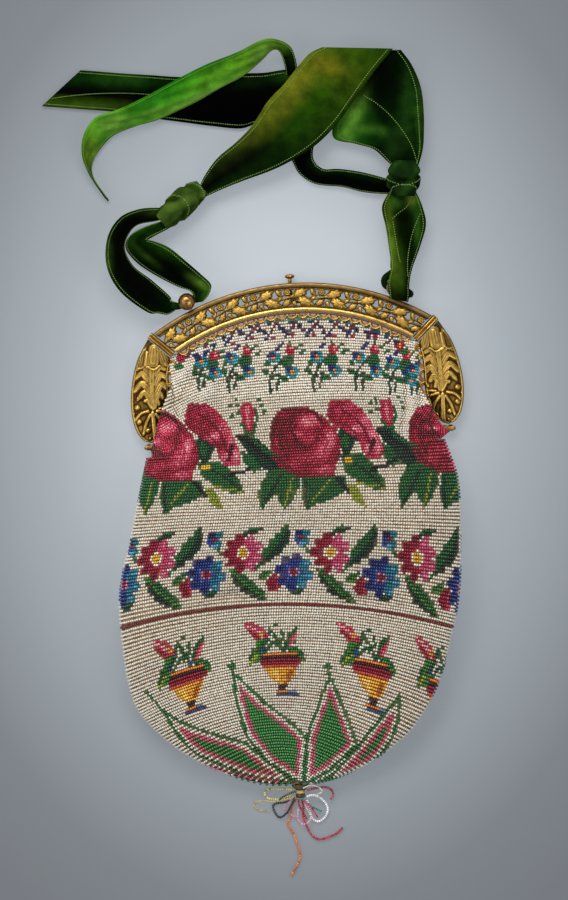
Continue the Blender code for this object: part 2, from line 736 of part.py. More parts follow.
def catch():
    """Push button, its guide and spring on the rear half, and the hook on the front half."""
    rim_under = ARCH_TOP - RIM_WIDTH
    stop_top = rim_under - CLEARANCE
    stop_low = stop_top - STOP_LENGTH
    guide_top = stop_low - CLEARANCE - SPRING_LENGTH - CLEARANCE
    guide_low = guide_top - GUIDE_HEIGHT
    head_low = ARCH_TOP + BUTTON_STAND
    profile = [
        (guide_low - BUTTON_TRAVEL, SHANK_RADIUS),
        (stop_low, SHANK_RADIUS),
        (stop_low, STOP_RADIUS),
        (stop_top, STOP_RADIUS),
        (stop_top, STEM_RADIUS),
        (head_low - BUTTON_HEAD / 4, STEM_RADIUS),
        (head_low, BUTTON_RADIUS * 0.8),
        (head_low + BUTTON_HEAD * 0.35, BUTTON_RADIUS),
        (head_low + BUTTON_HEAD * 0.7, BUTTON_RADIUS * 0.9),
        (head_low + BUTTON_HEAD, BUTTON_RADIUS * 0.45),
    ]
    place("catch_button", turned(profile, (0, 1, 0), (0, 0, -STEM_LEVEL), 14), DULL_GILT, frame_axes)
    box = block(
        (-GUIDE_WIDTH / 2, guide_low, -STEM_LEVEL - GUIDE_DEPTH / 2),
        (GUIDE_WIDTH / 2, guide_top, -STEM_LEVEL + GUIDE_DEPTH / 2),
    )
    bore = turned(
        [
            (guide_low - OVERRUN, SHANK_RADIUS + CLEARANCE / 2),
            (guide_top + OVERRUN, SHANK_RADIUS + CLEARANCE / 2),
        ],
        (0, 1, 0),
        (0, 0, -STEM_LEVEL),
        10,
    )
    foot = block(
        (-GUIDE_WIDTH / 2, guide_low, -GALLERY_BACK + CLEARANCE),
        (-GUIDE_WIDTH / 4, guide_top, -STEM_LEVEL),
    )
    place("catch_guide", pierced(fused([box, foot]), [bore]), DULL_GILT, frame_axes)
    wire = []
    steps = SPRING_TURNS * 8
    run = SPRING_LENGTH - 2 * SPRING_WIRE
    for i in range(steps + 1):
        turn = 2 * math.pi * i / 8
        along = guide_top + CLEARANCE + SPRING_WIRE + run * i / steps
        wire.append(
            (
                SPRING_RADIUS * math.cos(turn),
                along,
                -STEM_LEVEL + SPRING_RADIUS * math.sin(turn),
            )
        )
    tube("catch_spring", wire, SPRING_WIRE, STEEL, 1, frame_axes)
    hook_left = GUIDE_WIDTH / 2 + CLEARANCE
    reach = block(
        (hook_left, guide_low, -HOOK_REACH),
        (hook_left + HOOK_WIDTH, guide_low + HOOK_HEIGHT, GALLERY_BACK - CLEARANCE),
    )
    nose = block(
        (SHANK_RADIUS + CLEARANCE, guide_low - BUTTON_TRAVEL + CLEARANCE, -HOOK_REACH),
        (hook_left + HOOK_WIDTH / 2, guide_low - CLEARANCE, -HOOK_REACH + HOOK_WIDTH / 2),
    )
    side = block(
        (hook_left, guide_low - BUTTON_TRAVEL + CLEARANCE, -HOOK_REACH),
        (hook_left + HOOK_WIDTH, guide_low + HOOK_HEIGHT / 4, -HOOK_REACH + HOOK_WIDTH / 2),
    )
    place("catch_hook", fused([reach, nose, side]), DULL_GILT, front_axis)


def tube(name, points, radius, surface, resolution, parent=None):
    """A round tube along a list of points."""
    curve = bpy.data.curves.new(name, "CURVE")
    curve.dimensions = "3D"
    curve.bevel_depth = radius
    curve.bevel_resolution = resolution
    curve.use_fill_caps = True
    line = curve.splines.new("POLY")
    line.points.add(len(points) - 1)
    for spot, point in zip(line.points, points):
        spot.co = (*point, 1.0)
    curve.materials.append(surface)
    obj = bpy.data.objects.new(name, curve)
    bpy.context.scene.collection.objects.link(obj)
    obj.parent = parent
    return obj


def eye_centre(side):
    """Centre of the ribbon eye's hole, outside the rim."""
    reach = ARCH_RADIUS + CLEARANCE + BALL_RADIUS
    return Vector((*on_arch(side * EYE_ANGLE, reach), -HALF_DEPTH + EYE_INNER + 2 * EYE_WIRE + CLEARANCE))


def ribbon_eyes():
    """Ball-headed eyes on the rear rim, with the hole along the rim for the ribbon."""
    for name, side in (("left", -1), ("right", 1)):
        centre = eye_centre(side)
        tangent, outward = arch_frame(side * EYE_ANGLE)
        outward = Vector((*outward, 0))
        tangent = Vector((*tangent, 0))
        rings = []
        for i in range(12):
            turn = 2 * math.pi * i / 12
            spoke = outward * math.cos(turn) + Vector((0, 0, math.sin(turn)))
            middle = centre + spoke * (EYE_INNER + EYE_WIRE)
            ring = []
            for j in range(6):
                around = 2 * math.pi * j / 6
                offset = spoke * math.cos(around) + tangent * math.sin(around)
                ring.append(tuple(middle + offset * EYE_WIRE))
            rings.append(ring)
        points = [point for ring in rings for point in ring]
        faces = []
        for i in range(12):
            for j in range(6):
                a, b = i * 6 + j, i * 6 + (j + 1) % 6
                c, d = ((i + 1) % 12) * 6 + (j + 1) % 6, ((i + 1) % 12) * 6 + j
                faces.append([a, b, c, d])
        loop = mesh_of(points, faces)
        ball_middle = centre + Vector((0, 0, EYE_INNER + 1.5 * EYE_WIRE + BALL_RADIUS))
        profile = []
        for i in range(9):
            turn = math.pi * between(0.05, 0.95, i / 8)
            profile.append((-BALL_RADIUS * math.cos(turn), BALL_RADIUS * math.sin(turn)))
        ball = turned(profile, (0, 0, 1), ball_middle, 12)
        rim_gap = BALL_RADIUS - EYE_INNER - EYE_WIRE
        foot = turned(
            [(-rim_gap, 1.4 * EYE_WIRE), (EYE_WIRE, 1.4 * EYE_WIRE)],
            outward,
            centre - outward * (EYE_INNER + EYE_WIRE),
            8,
        )
        place(f"ribbon_eye_{name}", fused([loop, ball, foot]), DULL_GILT, frame_axes)


frame_halves()
hinge_pins()
catch()
ribbon_eyes()

TO_WORLD = Matrix.Translation((0, 0, HALF_DEPTH)) @ Matrix.Rotation(FRAME_TILT, 4, "Z")


def in_world(x, y, level):
    """A point of the frame's drawing, in the part's own axes."""
    return TO_WORLD @ Vector((x, y, level))


# Bag. Its rows run from edge to edge of the bag, as read off the picture from the seam at the hinge
# line down to the tied bottom: left edge, right edge and the height at which the row crosses the middle.

AXIS_PX = 300.1
HINGE_PX = 437.8
BAG_WIDTH_PX = 342.3
BAG_DROP_PX = 351.2
HINGE_SPAN_PX = 297.0
SEAM_ROWS = 3
BAG_ROWS_PX = [
    ((145.8, 458.5), (445.5, 439.5), 449.0),
    ((141.0, 483.0), (457.5, 473.0), 478.0),
    ((135.0, 513.0), (461.0, 507.0), 507.0),
    ((128.5, 546.0), (461.0, 543.0), 536.0),
    ((121.5, 576.0), (461.0, 578.0), 563.0),
    ((118.7, 606.0), (457.5, 610.0), 588.0),
    ((121.5, 640.0), (451.5, 636.0), 612.0),
    ((126.5, 676.0), (444.5, 668.0), 640.0),
    ((136.0, 708.0), (431.5, 700.0), 668.0),
    ((156.0, 732.0), (410.0, 732.0), 697.0),
    ((185.0, 755.0), (379.0, 758.0), 725.0),
    ((222.0, 774.0), (346.0, 776.0), 750.0),
    ((262.0, 786.0), (322.0, 784.0), 770.0),
]
BAG_POLE_PX = (300.5, 787.0)
THICKNESS_SHARES = [0.74, 0.87, 0.96, 1.0, 1.0, 0.98, 0.94, 0.88, 0.80, 0.70, 0.59, 0.46, 0.34]
BAG_COLUMNS = 20
SECTION_POWER = 2.7
FREE_COLUMNS = 1
BACK_FREE_COLUMNS = 2


def bag_place(px, py, row):
    """A picture point of the bag in metres, tied to the hinges at its top and to its own width below."""
    at_seam = HINGE_SPAN / HINGE_SPAN_PX
    at_belly = BAG_WIDTH / BAG_WIDTH_PX
    scale = between(at_seam, at_belly, min(1.0, row / SEAM_ROWS))
    return Vector(((px - AXIS_PX) * scale, (HINGE_PX - py) * BAG_DROP / BAG_DROP_PX))


def seam_height(x, drop):
    """Height of the seam, which lies a set way below the tilted hinge line."""
    return x * math.tan(FRAME_TILT) - drop


def section_point(row, turn):
    """A point of one row round the bag: turn 0 is the right edge, a quarter turn is the front."""
    (left, right, middle) = BAG_ROWS_PX[row]
    start, end = bag_place(*left, row), bag_place(*right, row)
    crest = bag_place(AXIS_PX, middle, row).y
    height = BAG_THICKNESS * THICKNESS_SHARES[row]
    cosine, sine = math.cos(turn), math.sin(turn)
    swing = math.copysign(abs(cosine) ** (2 / SECTION_POWER), cosine)
    lift = math.copysign(abs(sine) ** (2 / SECTION_POWER), sine)
    x = between(start.x, end.x, (swing + 1) / 2)
    edge = between(start.y, end.y, (swing + 1) / 2)
    y = edge + (crest - (start.y + end.y) / 2) * (1 - swing**2)
    if row == 0:
        y = seam_height(x, SEAM_DROP)
    z = height / 2 * (1 + lift) - REST_FLAT * max(0.0, -lift)
    return Vector((x, y, max(z, 0)))


# Where the fabric meets the frame, from the hinge up to the top of the arch, for the right half:
# shares of the collar's inner end (across) and of its height, and of the frame's half depth (level)
FRONT_EDGE_SHARES = [
    (1.215, -0.03, 2.5),
    (1.18, 0.06, 2.3),
    (1.12, 0.20, 2.1),
    (1.05, 0.36, 1.7),
    (0.965, 0.50, 1.0),
    (0.92, 0.64, 0.6),
    (0.905, 0.82, 0.5),
]
REAR_EDGE_SHARES = [
    (1.08, -0.02, -0.35),
    (1.05, 0.03, -0.35),
    (1.03, 0.1, -0.35),
    (1.01, 0.22, -0.4),
    (0.98, 0.36, -0.45),
    (0.915, 0.56, -0.5),
    (0.905, 0.80, -0.5),
]
ARCH_EDGE_SHARES = [0.86, 0.66, 0.44, 0.22, 0.0]
ARCH_EDGE_LEVEL_SHARE = 0.5


def mouth_edge(shares, arch_radius, level_sign):
    """The fabric's edge along one half of the frame, from the left hinge over to the right one."""
    half = []
    for across, height, level in shares:
        half.append((COLLAR_INNER.x * across, COLLAR_INNER.y * height, HALF_DEPTH * level))
    for share in ARCH_EDGE_SHARES:
        point = on_arch(COLLAR_ANGLE * share, arch_radius)
        half.append((point.x, point.y, level_sign * HALF_DEPTH * ARCH_EDGE_LEVEL_SHARE))
    mirrored = [(-x, y, z) for x, y, z in half]
    return smooth_path([in_world(*point) for point in mirrored + half[-2::-1]], 4)


def along(path, share):
    """The point at a share of a path's length."""
    lengths = [0.0]
    for i in range(1, len(path)):
        lengths.append(lengths[-1] + (path[i] - path[i - 1]).length)
    target = share * lengths[-1]
    for i in range(1, len(path)):
        if lengths[i] >= target:
            run = lengths[i] - lengths[i - 1]
            return path[i - 1].lerp(path[i], (target - lengths[i - 1]) / run)
    return path[-1]


BEAD_EDGE = SCALLOP_LOW - 2 * CLEARANCE
FRONT_EDGE = mouth_edge(FRONT_EDGE_SHARES, BEAD_EDGE, 1)
REAR_EDGE = mouth_edge(REAR_EDGE_SHARES, BEAD_EDGE, -1)
PANEL_ROWS = 4
PANEL_SWELL_SHARE = 0.22


def panel_grid(path, turns, drop, sign):
    """Rows of fabric from the seam up to the frame, in columns that follow the given turns."""
    rows = []
    for i in range(PANEL_ROWS + 1):
        up = i / PANEL_ROWS
        row = []
        for turn in turns:
            base = section_point(0, turn)
            base.y = seam_height(base.x, drop)
            share = abs(turn - turns[0]) / abs(turns[-1] - turns[0])
            share = 0.5 - math.copysign(abs(2 * share - 1) ** 0.8, 2 * share - 1) / 2
            if sign < 0:
                share = 1 - share
            top = along(path, share)
            swell = sign * BAG_THICKNESS * PANEL_SWELL_SHARE * up * (1 - up) * math.sin(math.pi * share)
            point = base.lerp(top, up)
            point.z = max(point.z + swell, 0)
            row.append(point)
        rows.append(row)
    return rows


def shell(name, rows_of_points, faces, wall, inset, surface):
    """Fabric of an even wall inside a surface, set in from it by an inset."""
    mesh = mesh_of(rows_of_points, faces)
    bm = bmesh.new()
    bm.from_mesh(mesh)
    bmesh.ops.triangulate(bm, faces=bm.faces, quad_method="SHORT_EDGE")
    top = max(bm.faces, key=lambda face: face.calc_center_median().z)
    if top.normal.z < 0:
        bmesh.ops.reverse_faces(bm, faces=bm.faces)
    bm.normal_update()
    moved = [vert.co - vert.normal * inset for vert in bm.verts]
    for vert, spot in zip(bm.verts, moved):
        vert.co = spot
    bm.to_mesh(mesh)
    bm.free()
    obj = place(name, mesh, surface)
    solid = obj.modifiers.new("wall", "SOLIDIFY")
    solid.thickness = wall
    solid.offset = -1
    solid.use_rim = True


COLUMN_TURNS = [2 * math.pi * j / BAG_COLUMNS for j in range(BAG_COLUMNS)]
FRONT_TURNS = [math.pi * j / BAG_COLUMNS for j in range(2 * FREE_COLUMNS, BAG_COLUMNS - 2 * FREE_COLUMNS + 1)]
BACK_COLUMNS = range(BAG_COLUMNS // 2 + BACK_FREE_COLUMNS, BAG_COLUMNS - BACK_FREE_COLUMNS + 1)
SEAM_GAP = 2 * CLEARANCE


def bag_pouch(name, wall, inset, surface):
    """The pouch below the hinges with the back panel that runs up to the rear half."""
    count = len(BAG_ROWS_PX)
    points, faces = [], []
    for row in range(count):
        points += [section_point(row, turn) for turn in COLUMN_TURNS]
    for i in range(count - 1):
        for j in range(BAG_COLUMNS):
            k = (j + 1) % BAG_COLUMNS
            a, b = i * BAG_COLUMNS + j, i * BAG_COLUMNS + k
            faces.append([a, b, b + BAG_COLUMNS, a + BAG_COLUMNS])
    pole = bag_place(*BAG_POLE_PX, SEAM_ROWS)
    points.append(Vector((*pole, GATHER_RADIUS)))
    last = (count - 1) * BAG_COLUMNS
    for j in range(BAG_COLUMNS):
        faces.append([last + j, last + (j + 1) % BAG_COLUMNS, len(points) - 1])
    grid = panel_grid(REAR_EDGE, [COLUMN_TURNS[j] for j in BACK_COLUMNS], SEAM_DROP, -1)
    below = list(BACK_COLUMNS)
    for row in grid[1:]:
        here = list(range(len(points), len(points) + len(row)))
        points += row
        for j in range(len(row) - 1):
            faces.append([below[j], below[j + 1], here[j + 1], here[j]])
        below = here
    shell(name, points, faces, wall, inset, surface)


def bag_front(name, wall, inset, surface):
    """The front panel above the hinge line, which follows the front half of the frame."""
    grid = panel_grid(FRONT_EDGE, FRONT_TURNS, SEAM_DROP - SEAM_GAP, 1)
    points = [point for row in grid for point in row]
    faces = []
    width = len(FRONT_TURNS)
    for i in range(PANEL_ROWS):
        for j in range(width - 1):
            a = i * width + j
            faces.append([a, a + 1, a + 1 + width, a + width])
    shell(name, points, faces, wall, inset, surface)


def bag():
    lining_inset = BEAD_WALL + CLEARANCE
    bag_pouch("bag_body", BEAD_WALL, 0, IVORY_BEADS)
    bag_pouch("bag_lining", LINING_WALL, lining_inset, SILK)
    bag_front("bag_front_panel", BEAD_WALL, 0, IVORY_BEADS)
    bag_front("bag_lining_front", LINING_WALL, lining_inset, SILK)


bag()

# Gather and the remains of the tassel. Each route is (picture x, picture y, height in radii of a
# bead string).

STRAND_POINT_SHARE = 2.5
GATHER_SHARES = [(-1.0, 0.5), (-0.6, 0.85), (0.0, 1.0), (0.75, 0.85), (1.0, 0.45)]
ORANGE_ROUTE = [
    (296.4, 799.3, 2.7),
    (293, 806, 1.6),
    (291.6, 812, 1.2),
    (290, 820, 1.2),
    (287.5, 825, 1.2),
    (290, 829.5, 1.2),
    (294, 836, 1.2),
    (297, 845, 1.2),
    (299.5, 853, 1.2),
    (300, 860, 1.2),
    (296.5, 868, 1.2),
    (291, 877.5, 1.2),
]
RED_ROUTE = [
    (302, 800.6, 2.4),
    (303.5, 808, 1.3),
    (303, 818, 1.2),
    (306, 826, 1.2),
    (310, 834, 1.2),
    (315, 839.5, 1.2),
    (321, 841, 1.2),
    (328, 839, 1.2),
    (337, 835, 1.2),
    (343, 829, 1.2),
]
WHITE_ROUTE = [
    (306.6, 798, 4.5),
    (311, 796.3, 4.8),
    (316, 796.8, 4.3),
    (321, 799.5, 3.5),
    (326, 805, 2.1),
    (328, 811.5, 1.2),
    (325, 819, 1.2),
    (318.5, 823, 1.2),
    (312.5, 820, 1.2),
    (310, 813, 1.3),
    (308.5, 806, 1.9),
    (306.8, 801, 2.7),
]
PINK_ROUTE = [
    (299.3, 800.6, 2.9),
    (299, 808, 2.1),
    (298, 816, 1.7),
    (299, 822.5, 2.4),
    (303.5, 825.5, 4.0),
    (308.5, 823.5, 4.3),
    (311, 818.5, 4.3),
    (308, 812, 4.8),
    (305, 805, 5.3),
    (303.6, 800.8, 5.9),
]
BLACK_ROUTE = [
    (294.5, 798, 5.3),
    (291.5, 806, 4.5),
    (287, 814, 3.5),
    (280, 819, 1.6),
    (275, 814, 1.2),
    (273, 807.5, 1.2),
    (277, 804.7, 1.3),
    (284, 804, 1.6),
    (290, 802, 2.1),
]
YELLOW_ROUTE = [
    (294.3, 791.3, 5.6),
    (284, 790.3, 5.3),
    (275, 790, 4.3),
    (268, 791, 3.5),
    (264.5, 795, 3.2),
    (268, 799.6, 3.2),
    (276, 800.6, 3.5),
    (284, 800, 4.5),
    (290.5, 796.5, 6.4),
]
RUST_ROUTE = [
    (306.9, 791.6, 6.1),
    (313, 789.8, 5.6),
    (320, 788.6, 4.8),
    (327, 788.6, 4.0),
    (332, 791.5, 3.2),
    (333.5, 797, 2.7),
    (330.5, 801, 2.7),
]
GOLD_ROUTE = [
    (295.9, 797, 8.0),
    (288, 799.5, 7.7),
    (275, 802.5, 6.9),
    (262, 802, 4.0),
    (255, 804, 0.80),
    (254, 808, 0.67),
    (259, 811.5, 0.67),
    (269, 813, 0.67),
]


def strand(name, route, radius, surface):
    """A short string of beads or a thread, as a tube along its route."""
    points = [Vector((*bag_place(px, py, SEAM_ROWS), level * STRAND_RADIUS)) for px, py, level in route]
    path = smooth_path(points, 6)
    length = sum((b - a).length for a, b in zip(path, path[1:]))
    count = max(len(route), round(length / (STRAND_POINT_SHARE * 2 * STRAND_RADIUS)))
    tube(name, [along(path, i / count) for i in range(count + 1)], radius, surface, 2)


def tassel():
    """The tied bottom of the bag, and the strings and loops left of its bead tassel."""
    pole = bag_place(*BAG_POLE_PX, SEAM_ROWS)
    centre = (pole.x, pole.y - GATHER_RADIUS - CLEARANCE, GATHER_RADIUS)
    profile = [(GATHER_RADIUS * a, GATHER_RADIUS * r) for a, r in GATHER_SHARES]
    place("bag_gather", turned(profile, (0, 1, 0), centre, 12), COTTON)
    strand("strand_orange", ORANGE_ROUTE, STRAND_RADIUS, ORANGE_BEADS)
    strand("strand_red", RED_ROUTE, STRAND_RADIUS, RED_BEADS)
    strand("loop_white", WHITE_ROUTE, STRAND_RADIUS, WHITE_BEADS)
    strand("loop_pink", PINK_ROUTE, FINE_STRAND_RADIUS, PINK_BEADS)
    strand("loop_black", BLACK_ROUTE, STRAND_RADIUS, BLACK_BEADS)
    strand("loop_yellow", YELLOW_ROUTE, STRAND_RADIUS, YELLOW_BEADS)
    strand("loop_rust", RUST_ROUTE, STRAND_RADIUS, RUST_BEADS)
    strand("thread_gold", GOLD_ROUTE, THREAD_RADIUS, GOLD_THREAD)


tassel()

# Ribbon. Each stretch is a list of stations: the picture places of its two edges, and the height of
# each edge above the surface as a share of the ribbon's width.

EYE_LEFT_PX = (186.8, 303.0)
EYE_RIGHT_PX = (395.1, 289.6)
HANDLE_HEIGHT_PX = 255.0
CROWN_SHARE = 0.03
LEFT_LOOP_OUTER = [
    ((159.9, 209.2), (155.9, 221), 0.34, 0.06),
    ((140, 211), (137, 225), 0.47, 0.055),
    ((121, 220), (127, 236), 0.66, 0.05),
    ((109, 240), (124, 250), 0.75, 0.045),
    ((108, 268), (133, 267), 0.69, 0.045),
    ((121, 293), (151, 281), 0.59, 0.045),
    ((147, 313), (169, 297), 0.41, 0.045),
    ((158, 314.5), (170.5, 301.5), 0.3, 0.06),
]
LEFT_LOOP_INNER = [
    ((162.5, 222), (167.5, 230), 0.155, 0.28),
    ((145, 228), (153, 238), 0.2, 0.41),
    ((130, 237), (148, 242), 0.2, 0.53),
    ((126, 249), (156, 244), 0.17, 0.59),
    ((138, 264), (170, 250), 0.125, 0.59),
    ((158, 277), (186, 263), 0.11, 0.56),
    ((178, 287), (200, 277), 0.1, 0.47),
    ((193, 291), (210, 286), 0.14, 0.36),
]
MAIN_BAND = [
    ((200.2, 186.6), (207.2, 196.6), 0.25, 0.25),
    ((206, 175), (222, 190), 0.31, 0.28),
    ((218, 159), (245, 181), 0.375, 0.31),
    ((237, 143), (275, 170), 0.41, 0.34),
    ((253, 126), (300, 157), 0.44, 0.375),
    ((268, 103), (320, 143), 0.47, 0.41),
    ((284, 86), (338, 124), 0.47, 0.42),
    ((299, 67), (353, 103), 0.47, 0.42),
    ((310, 55), (372, 76), 0.45, 0.41),
    ((322, 49), (393, 50), 0.44, 0.39),
]
RIGHT_FOLD = [
    ((330, 53), (401, 51), 0.38, 0.33),
    ((343, 76), (412, 66), 0.29, 0.28),
    ((338, 106), (421, 88), 0.22, 0.25),
    ((333, 137), (424, 114), 0.19, 0.25),
    ((354, 144), (424, 135), 0.19, 0.28),
    ((374, 150), (423, 150), 0.22, 0.3),
    ((389, 163.6), (419, 164.6), 0.25, 0.3),
]
RIGHT_DROP = [
    ((388, 195.5), (417, 194.5), 0.28, 0.28),
    ((382, 209), (423, 209), 0.31, 0.25),
    ((386, 229), (426, 226), 0.34, 0.25),
    ((389, 250), (420, 248), 0.375, 0.31),
    ((391, 268), (412, 270), 0.485, 0.455),
    ((388, 284), (409, 285), 0.58, 0.575),
    ((391, 292), (408, 297), 0.58, 0.575),
]
RIGHT_DROP_BACK = [
    ((391, 196), (413, 195), 0.14, 0.14),
    ((388, 212), (416, 212), 0.1, 0.08),
    ((390, 235), (416, 232), 0.08, 0.06),
    ((391, 255), (411, 254), 0.08, 0.06),
    ((391, 268.5), (401, 270), 0.09, 0.08),
]
CROSS_STRAND = [
    ((384, 179), (384.5, 194), 0.28, 0.1),
    ((360, 173), (363, 192), 0.31, 0.1),
    ((338, 170), (343, 187), 0.31, 0.08),
    ((324, 170), (316, 184), 0.28, 0.065),
    ((315, 163), (300, 174), 0.22, 0.065),
    ((313, 152), (292, 160), 0.16, 0.055),
    ((318, 128), (282, 146), 0.11, 0.05),
    ((316, 98), (270, 134), 0.085, 0.045),
]
LONG_TAIL = [
    ((315.3, 97.3), (269.4, 133.4), 0.085, 0.045),
    ((296, 71), (258, 124), 0.095, 0.045),
    ((262, 73), (240, 128.5), 0.11, 0.045),
    ((225, 74), (212, 126), 0.11, 0.045),
    ((185, 77), (185, 122.5), 0.095, 0.045),
    ((150, 75), (152, 118), 0.08, 0.045),
    ((118, 73), (118, 112), 0.065, 0.045),
    ((100, 71.5), (80, 109), 0.05, 0.045),
    ((82, 70.5), (45, 105), 0.045, 0.045),
]
SHORT_TAIL = [
    ((297, 67), (285, 66), 0.165, 0.165),
    ((292, 50), (280, 52), 0.31, 0.19),
    ((279, 42), (272, 50), 0.44, 0.19),
    ((263, 42), (262, 60), 0.53, 0.165),
    ((237, 55), (243, 76), 0.56, 0.155),
    ((206, 67), (222, 87), 0.56, 0.15),
    ((178, 81), (194, 103), 0.53, 0.14),
    ((147, 98), (159, 119), 0.5, 0.11),
    ((119, 111), (135, 126), 0.47, 0.08),
    ((96, 119), (112, 136), 0.41, 0.06),
    ((84, 136), (98, 151), 0.34, 0.05),
    ((82, 155), (91, 166), 0.28, 0.045),
    ((89, 174), (94, 181), 0.19, 0.045),
    ((105, 198), (108, 201), 0.1, 0.045),
]
LEFT_KNOT_PX = ((163, 220.5), (200.5, 189.5))
RIGHT_KNOT_PX = ((402, 165), (402, 193.5))
KNOT_LEVEL_SHARE = 1.05
LEFT_KNOT_SHARES = [(0, 0.4), (0.14, 0.9), (0.32, 1.0), (0.5, 0.78), (0.64, 0.98), (0.86, 0.85), (1, 0.4)]
RIGHT_KNOT_SHARES = [(0, 0.55), (0.2, 0.95), (0.5, 1.0), (0.8, 0.93), (1, 0.55)]
LEFT_LINK = [
    (170.9, 307.3, 0.135),
    (179.5, 306.6, 0.128),
    (186.8, 303.0, 0.128),
    (193.5, 299.7, 0.13),
    (200.0, 298.0, 0.2),
    (201.5, 292.0, 0.25),
]
RIGHT_LINK = [
    (394, 272.5, 0.09),
    (385.5, 279, 0.11),
    (386, 286.2, 0.128),
    (395.1, 289.6, 0.128),
    (404.2, 292.9, 0.13),
    (410, 295.5, 0.28),
    (409, 294, 0.535),
]


def handle_place(px, py):
    """A picture point of the handle in metres, tied to the two ribbon eyes and to its height."""
    left, right = (in_world(*eye_centre(side)) for side in (-1, 1))
    share = (px - EYE_LEFT_PX[0]) / (EYE_RIGHT_PX[0] - EYE_LEFT_PX[0])
    base = left.lerp(right, share)
    base_px = between(EYE_LEFT_PX[1], EYE_RIGHT_PX[1], share)
    return Vector((base.x, base.y + (base_px - py) * HANDLE_HEIGHT / HANDLE_HEIGHT_PX))


def ribbon(name, stations):
    """A stretch of ribbon, a little crowned between its two edges."""
    points, faces = [], []
    for left, right, left_lift, right_lift in stations:
        start = Vector((*handle_place(*left), RIBBON_WIDTH * left_lift))
        end = Vector((*handle_place(*right), RIBBON_WIDTH * right_lift))
        middle = start.lerp(end, 0.5)
        middle.z += RIBBON_WIDTH * CROWN_SHARE
        points += [start, middle, end]
    for i in range(len(stations) - 1):
        for j in range(2):
            a = 3 * i + j
            faces.append([a, a + 1, a + 4, a + 3])
    obj = place(name, mesh_of(points, faces), VELVET)
    solid = obj.modifiers.new("pile", "SOLIDIFY")
    solid.thickness = RIBBON_THICKNESS
    solid.offset = 0
    solid.use_rim = True


def knot(name, ends, shares, radius):
    """A knot, drawn up round the ribbon between two picture points."""
    start, end = (Vector((*handle_place(*spot), radius * KNOT_LEVEL_SHARE)) for spot in ends)
    length = (end - start).length
    profile = [(length * at, radius * size) for at, size in shares]
    place(name, turned(profile, end - start, start, 12), VELVET)


def link(name, route):
    """The ribbon bunched up where it runs through an eye."""
    points = [Vector((*handle_place(px, py), RIBBON_WIDTH * lift)) for px, py, lift in route]
    path = smooth_path(points, 4)
    count = 2 * len(route)
    tube(name, [along(path, i / count) for i in range(count + 1)], LINK_RADIUS, VELVET, 2)


def handle():
    ribbon("ribbon_left_loop_outer", LEFT_LOOP_OUTER)
    ribbon("ribbon_left_loop_inner", LEFT_LOOP_INNER)
    ribbon("ribbon_main_band", MAIN_BAND)
    ribbon("ribbon_right_fold", RIGHT_FOLD)
    ribbon("ribbon_right_drop", RIGHT_DROP)
    ribbon("ribbon_right_drop_back", RIGHT_DROP_BACK)
    ribbon("ribbon_cross_strand", CROSS_STRAND)
    ribbon("ribbon_long_tail", LONG_TAIL)
    ribbon("ribbon_short_tail", SHORT_TAIL)
    knot("ribbon_left_knot", LEFT_KNOT_PX, LEFT_KNOT_SHARES, KNOT_RADIUS)
    knot("ribbon_right_knot", RIGHT_KNOT_PX, RIGHT_KNOT_SHARES, RIGHT_KNOT_RADIUS)
    link("ribbon_left_link", LEFT_LINK)
    link("ribbon_right_link", RIGHT_LINK)


handle()
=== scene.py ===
import itertools
import math

import bpy
import numpy as np
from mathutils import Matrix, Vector
from mathutils.bvhtree import BVHTree


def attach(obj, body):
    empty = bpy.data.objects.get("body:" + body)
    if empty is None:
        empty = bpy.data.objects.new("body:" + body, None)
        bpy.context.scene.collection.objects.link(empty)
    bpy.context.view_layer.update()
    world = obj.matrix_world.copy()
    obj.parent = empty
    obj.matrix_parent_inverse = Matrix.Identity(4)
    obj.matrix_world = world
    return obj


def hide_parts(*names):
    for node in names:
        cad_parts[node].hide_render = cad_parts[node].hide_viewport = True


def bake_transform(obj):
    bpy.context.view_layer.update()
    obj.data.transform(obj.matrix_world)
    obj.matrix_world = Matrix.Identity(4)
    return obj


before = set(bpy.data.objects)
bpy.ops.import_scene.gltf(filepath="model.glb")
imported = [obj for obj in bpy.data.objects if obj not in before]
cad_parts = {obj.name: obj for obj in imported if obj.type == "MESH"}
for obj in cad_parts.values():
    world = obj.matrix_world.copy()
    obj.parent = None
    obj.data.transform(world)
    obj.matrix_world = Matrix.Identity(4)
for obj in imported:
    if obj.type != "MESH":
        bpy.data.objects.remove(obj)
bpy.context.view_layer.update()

MM = 0.001
PIXEL = 0.54 * MM
AXIS_PX, HINGE_PX = 300.1, 437.8
REAR, FRONT = "rear_frame", "front_frame"
TILT = math.radians(3.7)
HALF_DEPTH = 5.2 * MM
PHOTO_PX = (568, 900)
FLOOR_SIZE, FLOOR_DROP = 3.0, 0.0003
# The left ribbon eye in picture points and in metres, and the way to the right eye for each picture point across
LEFT_EYE_PX, LEFT_EYE = (186.8, 303), (-0.06127, 0.07347)
EYE_STEP, EYE_SLOPE = (0.00054037, 0.00003495), 0.06433


# ---- places and meshes

def place(px, py):
    """A picture point of the bag, in metres."""
    return (px - AXIS_PX) * PIXEL, (HINGE_PX - py) * PIXEL


def handle_place(px, py):
    """A picture point of the handle, in metres, tied to the two ribbon eyes."""
    along = px - LEFT_EYE_PX[0]
    down = LEFT_EYE_PX[1] - along * EYE_SLOPE - py
    return LEFT_EYE[0] + along * EYE_STEP[0], LEFT_EYE[1] + along * EYE_STEP[1] + down * PIXEL


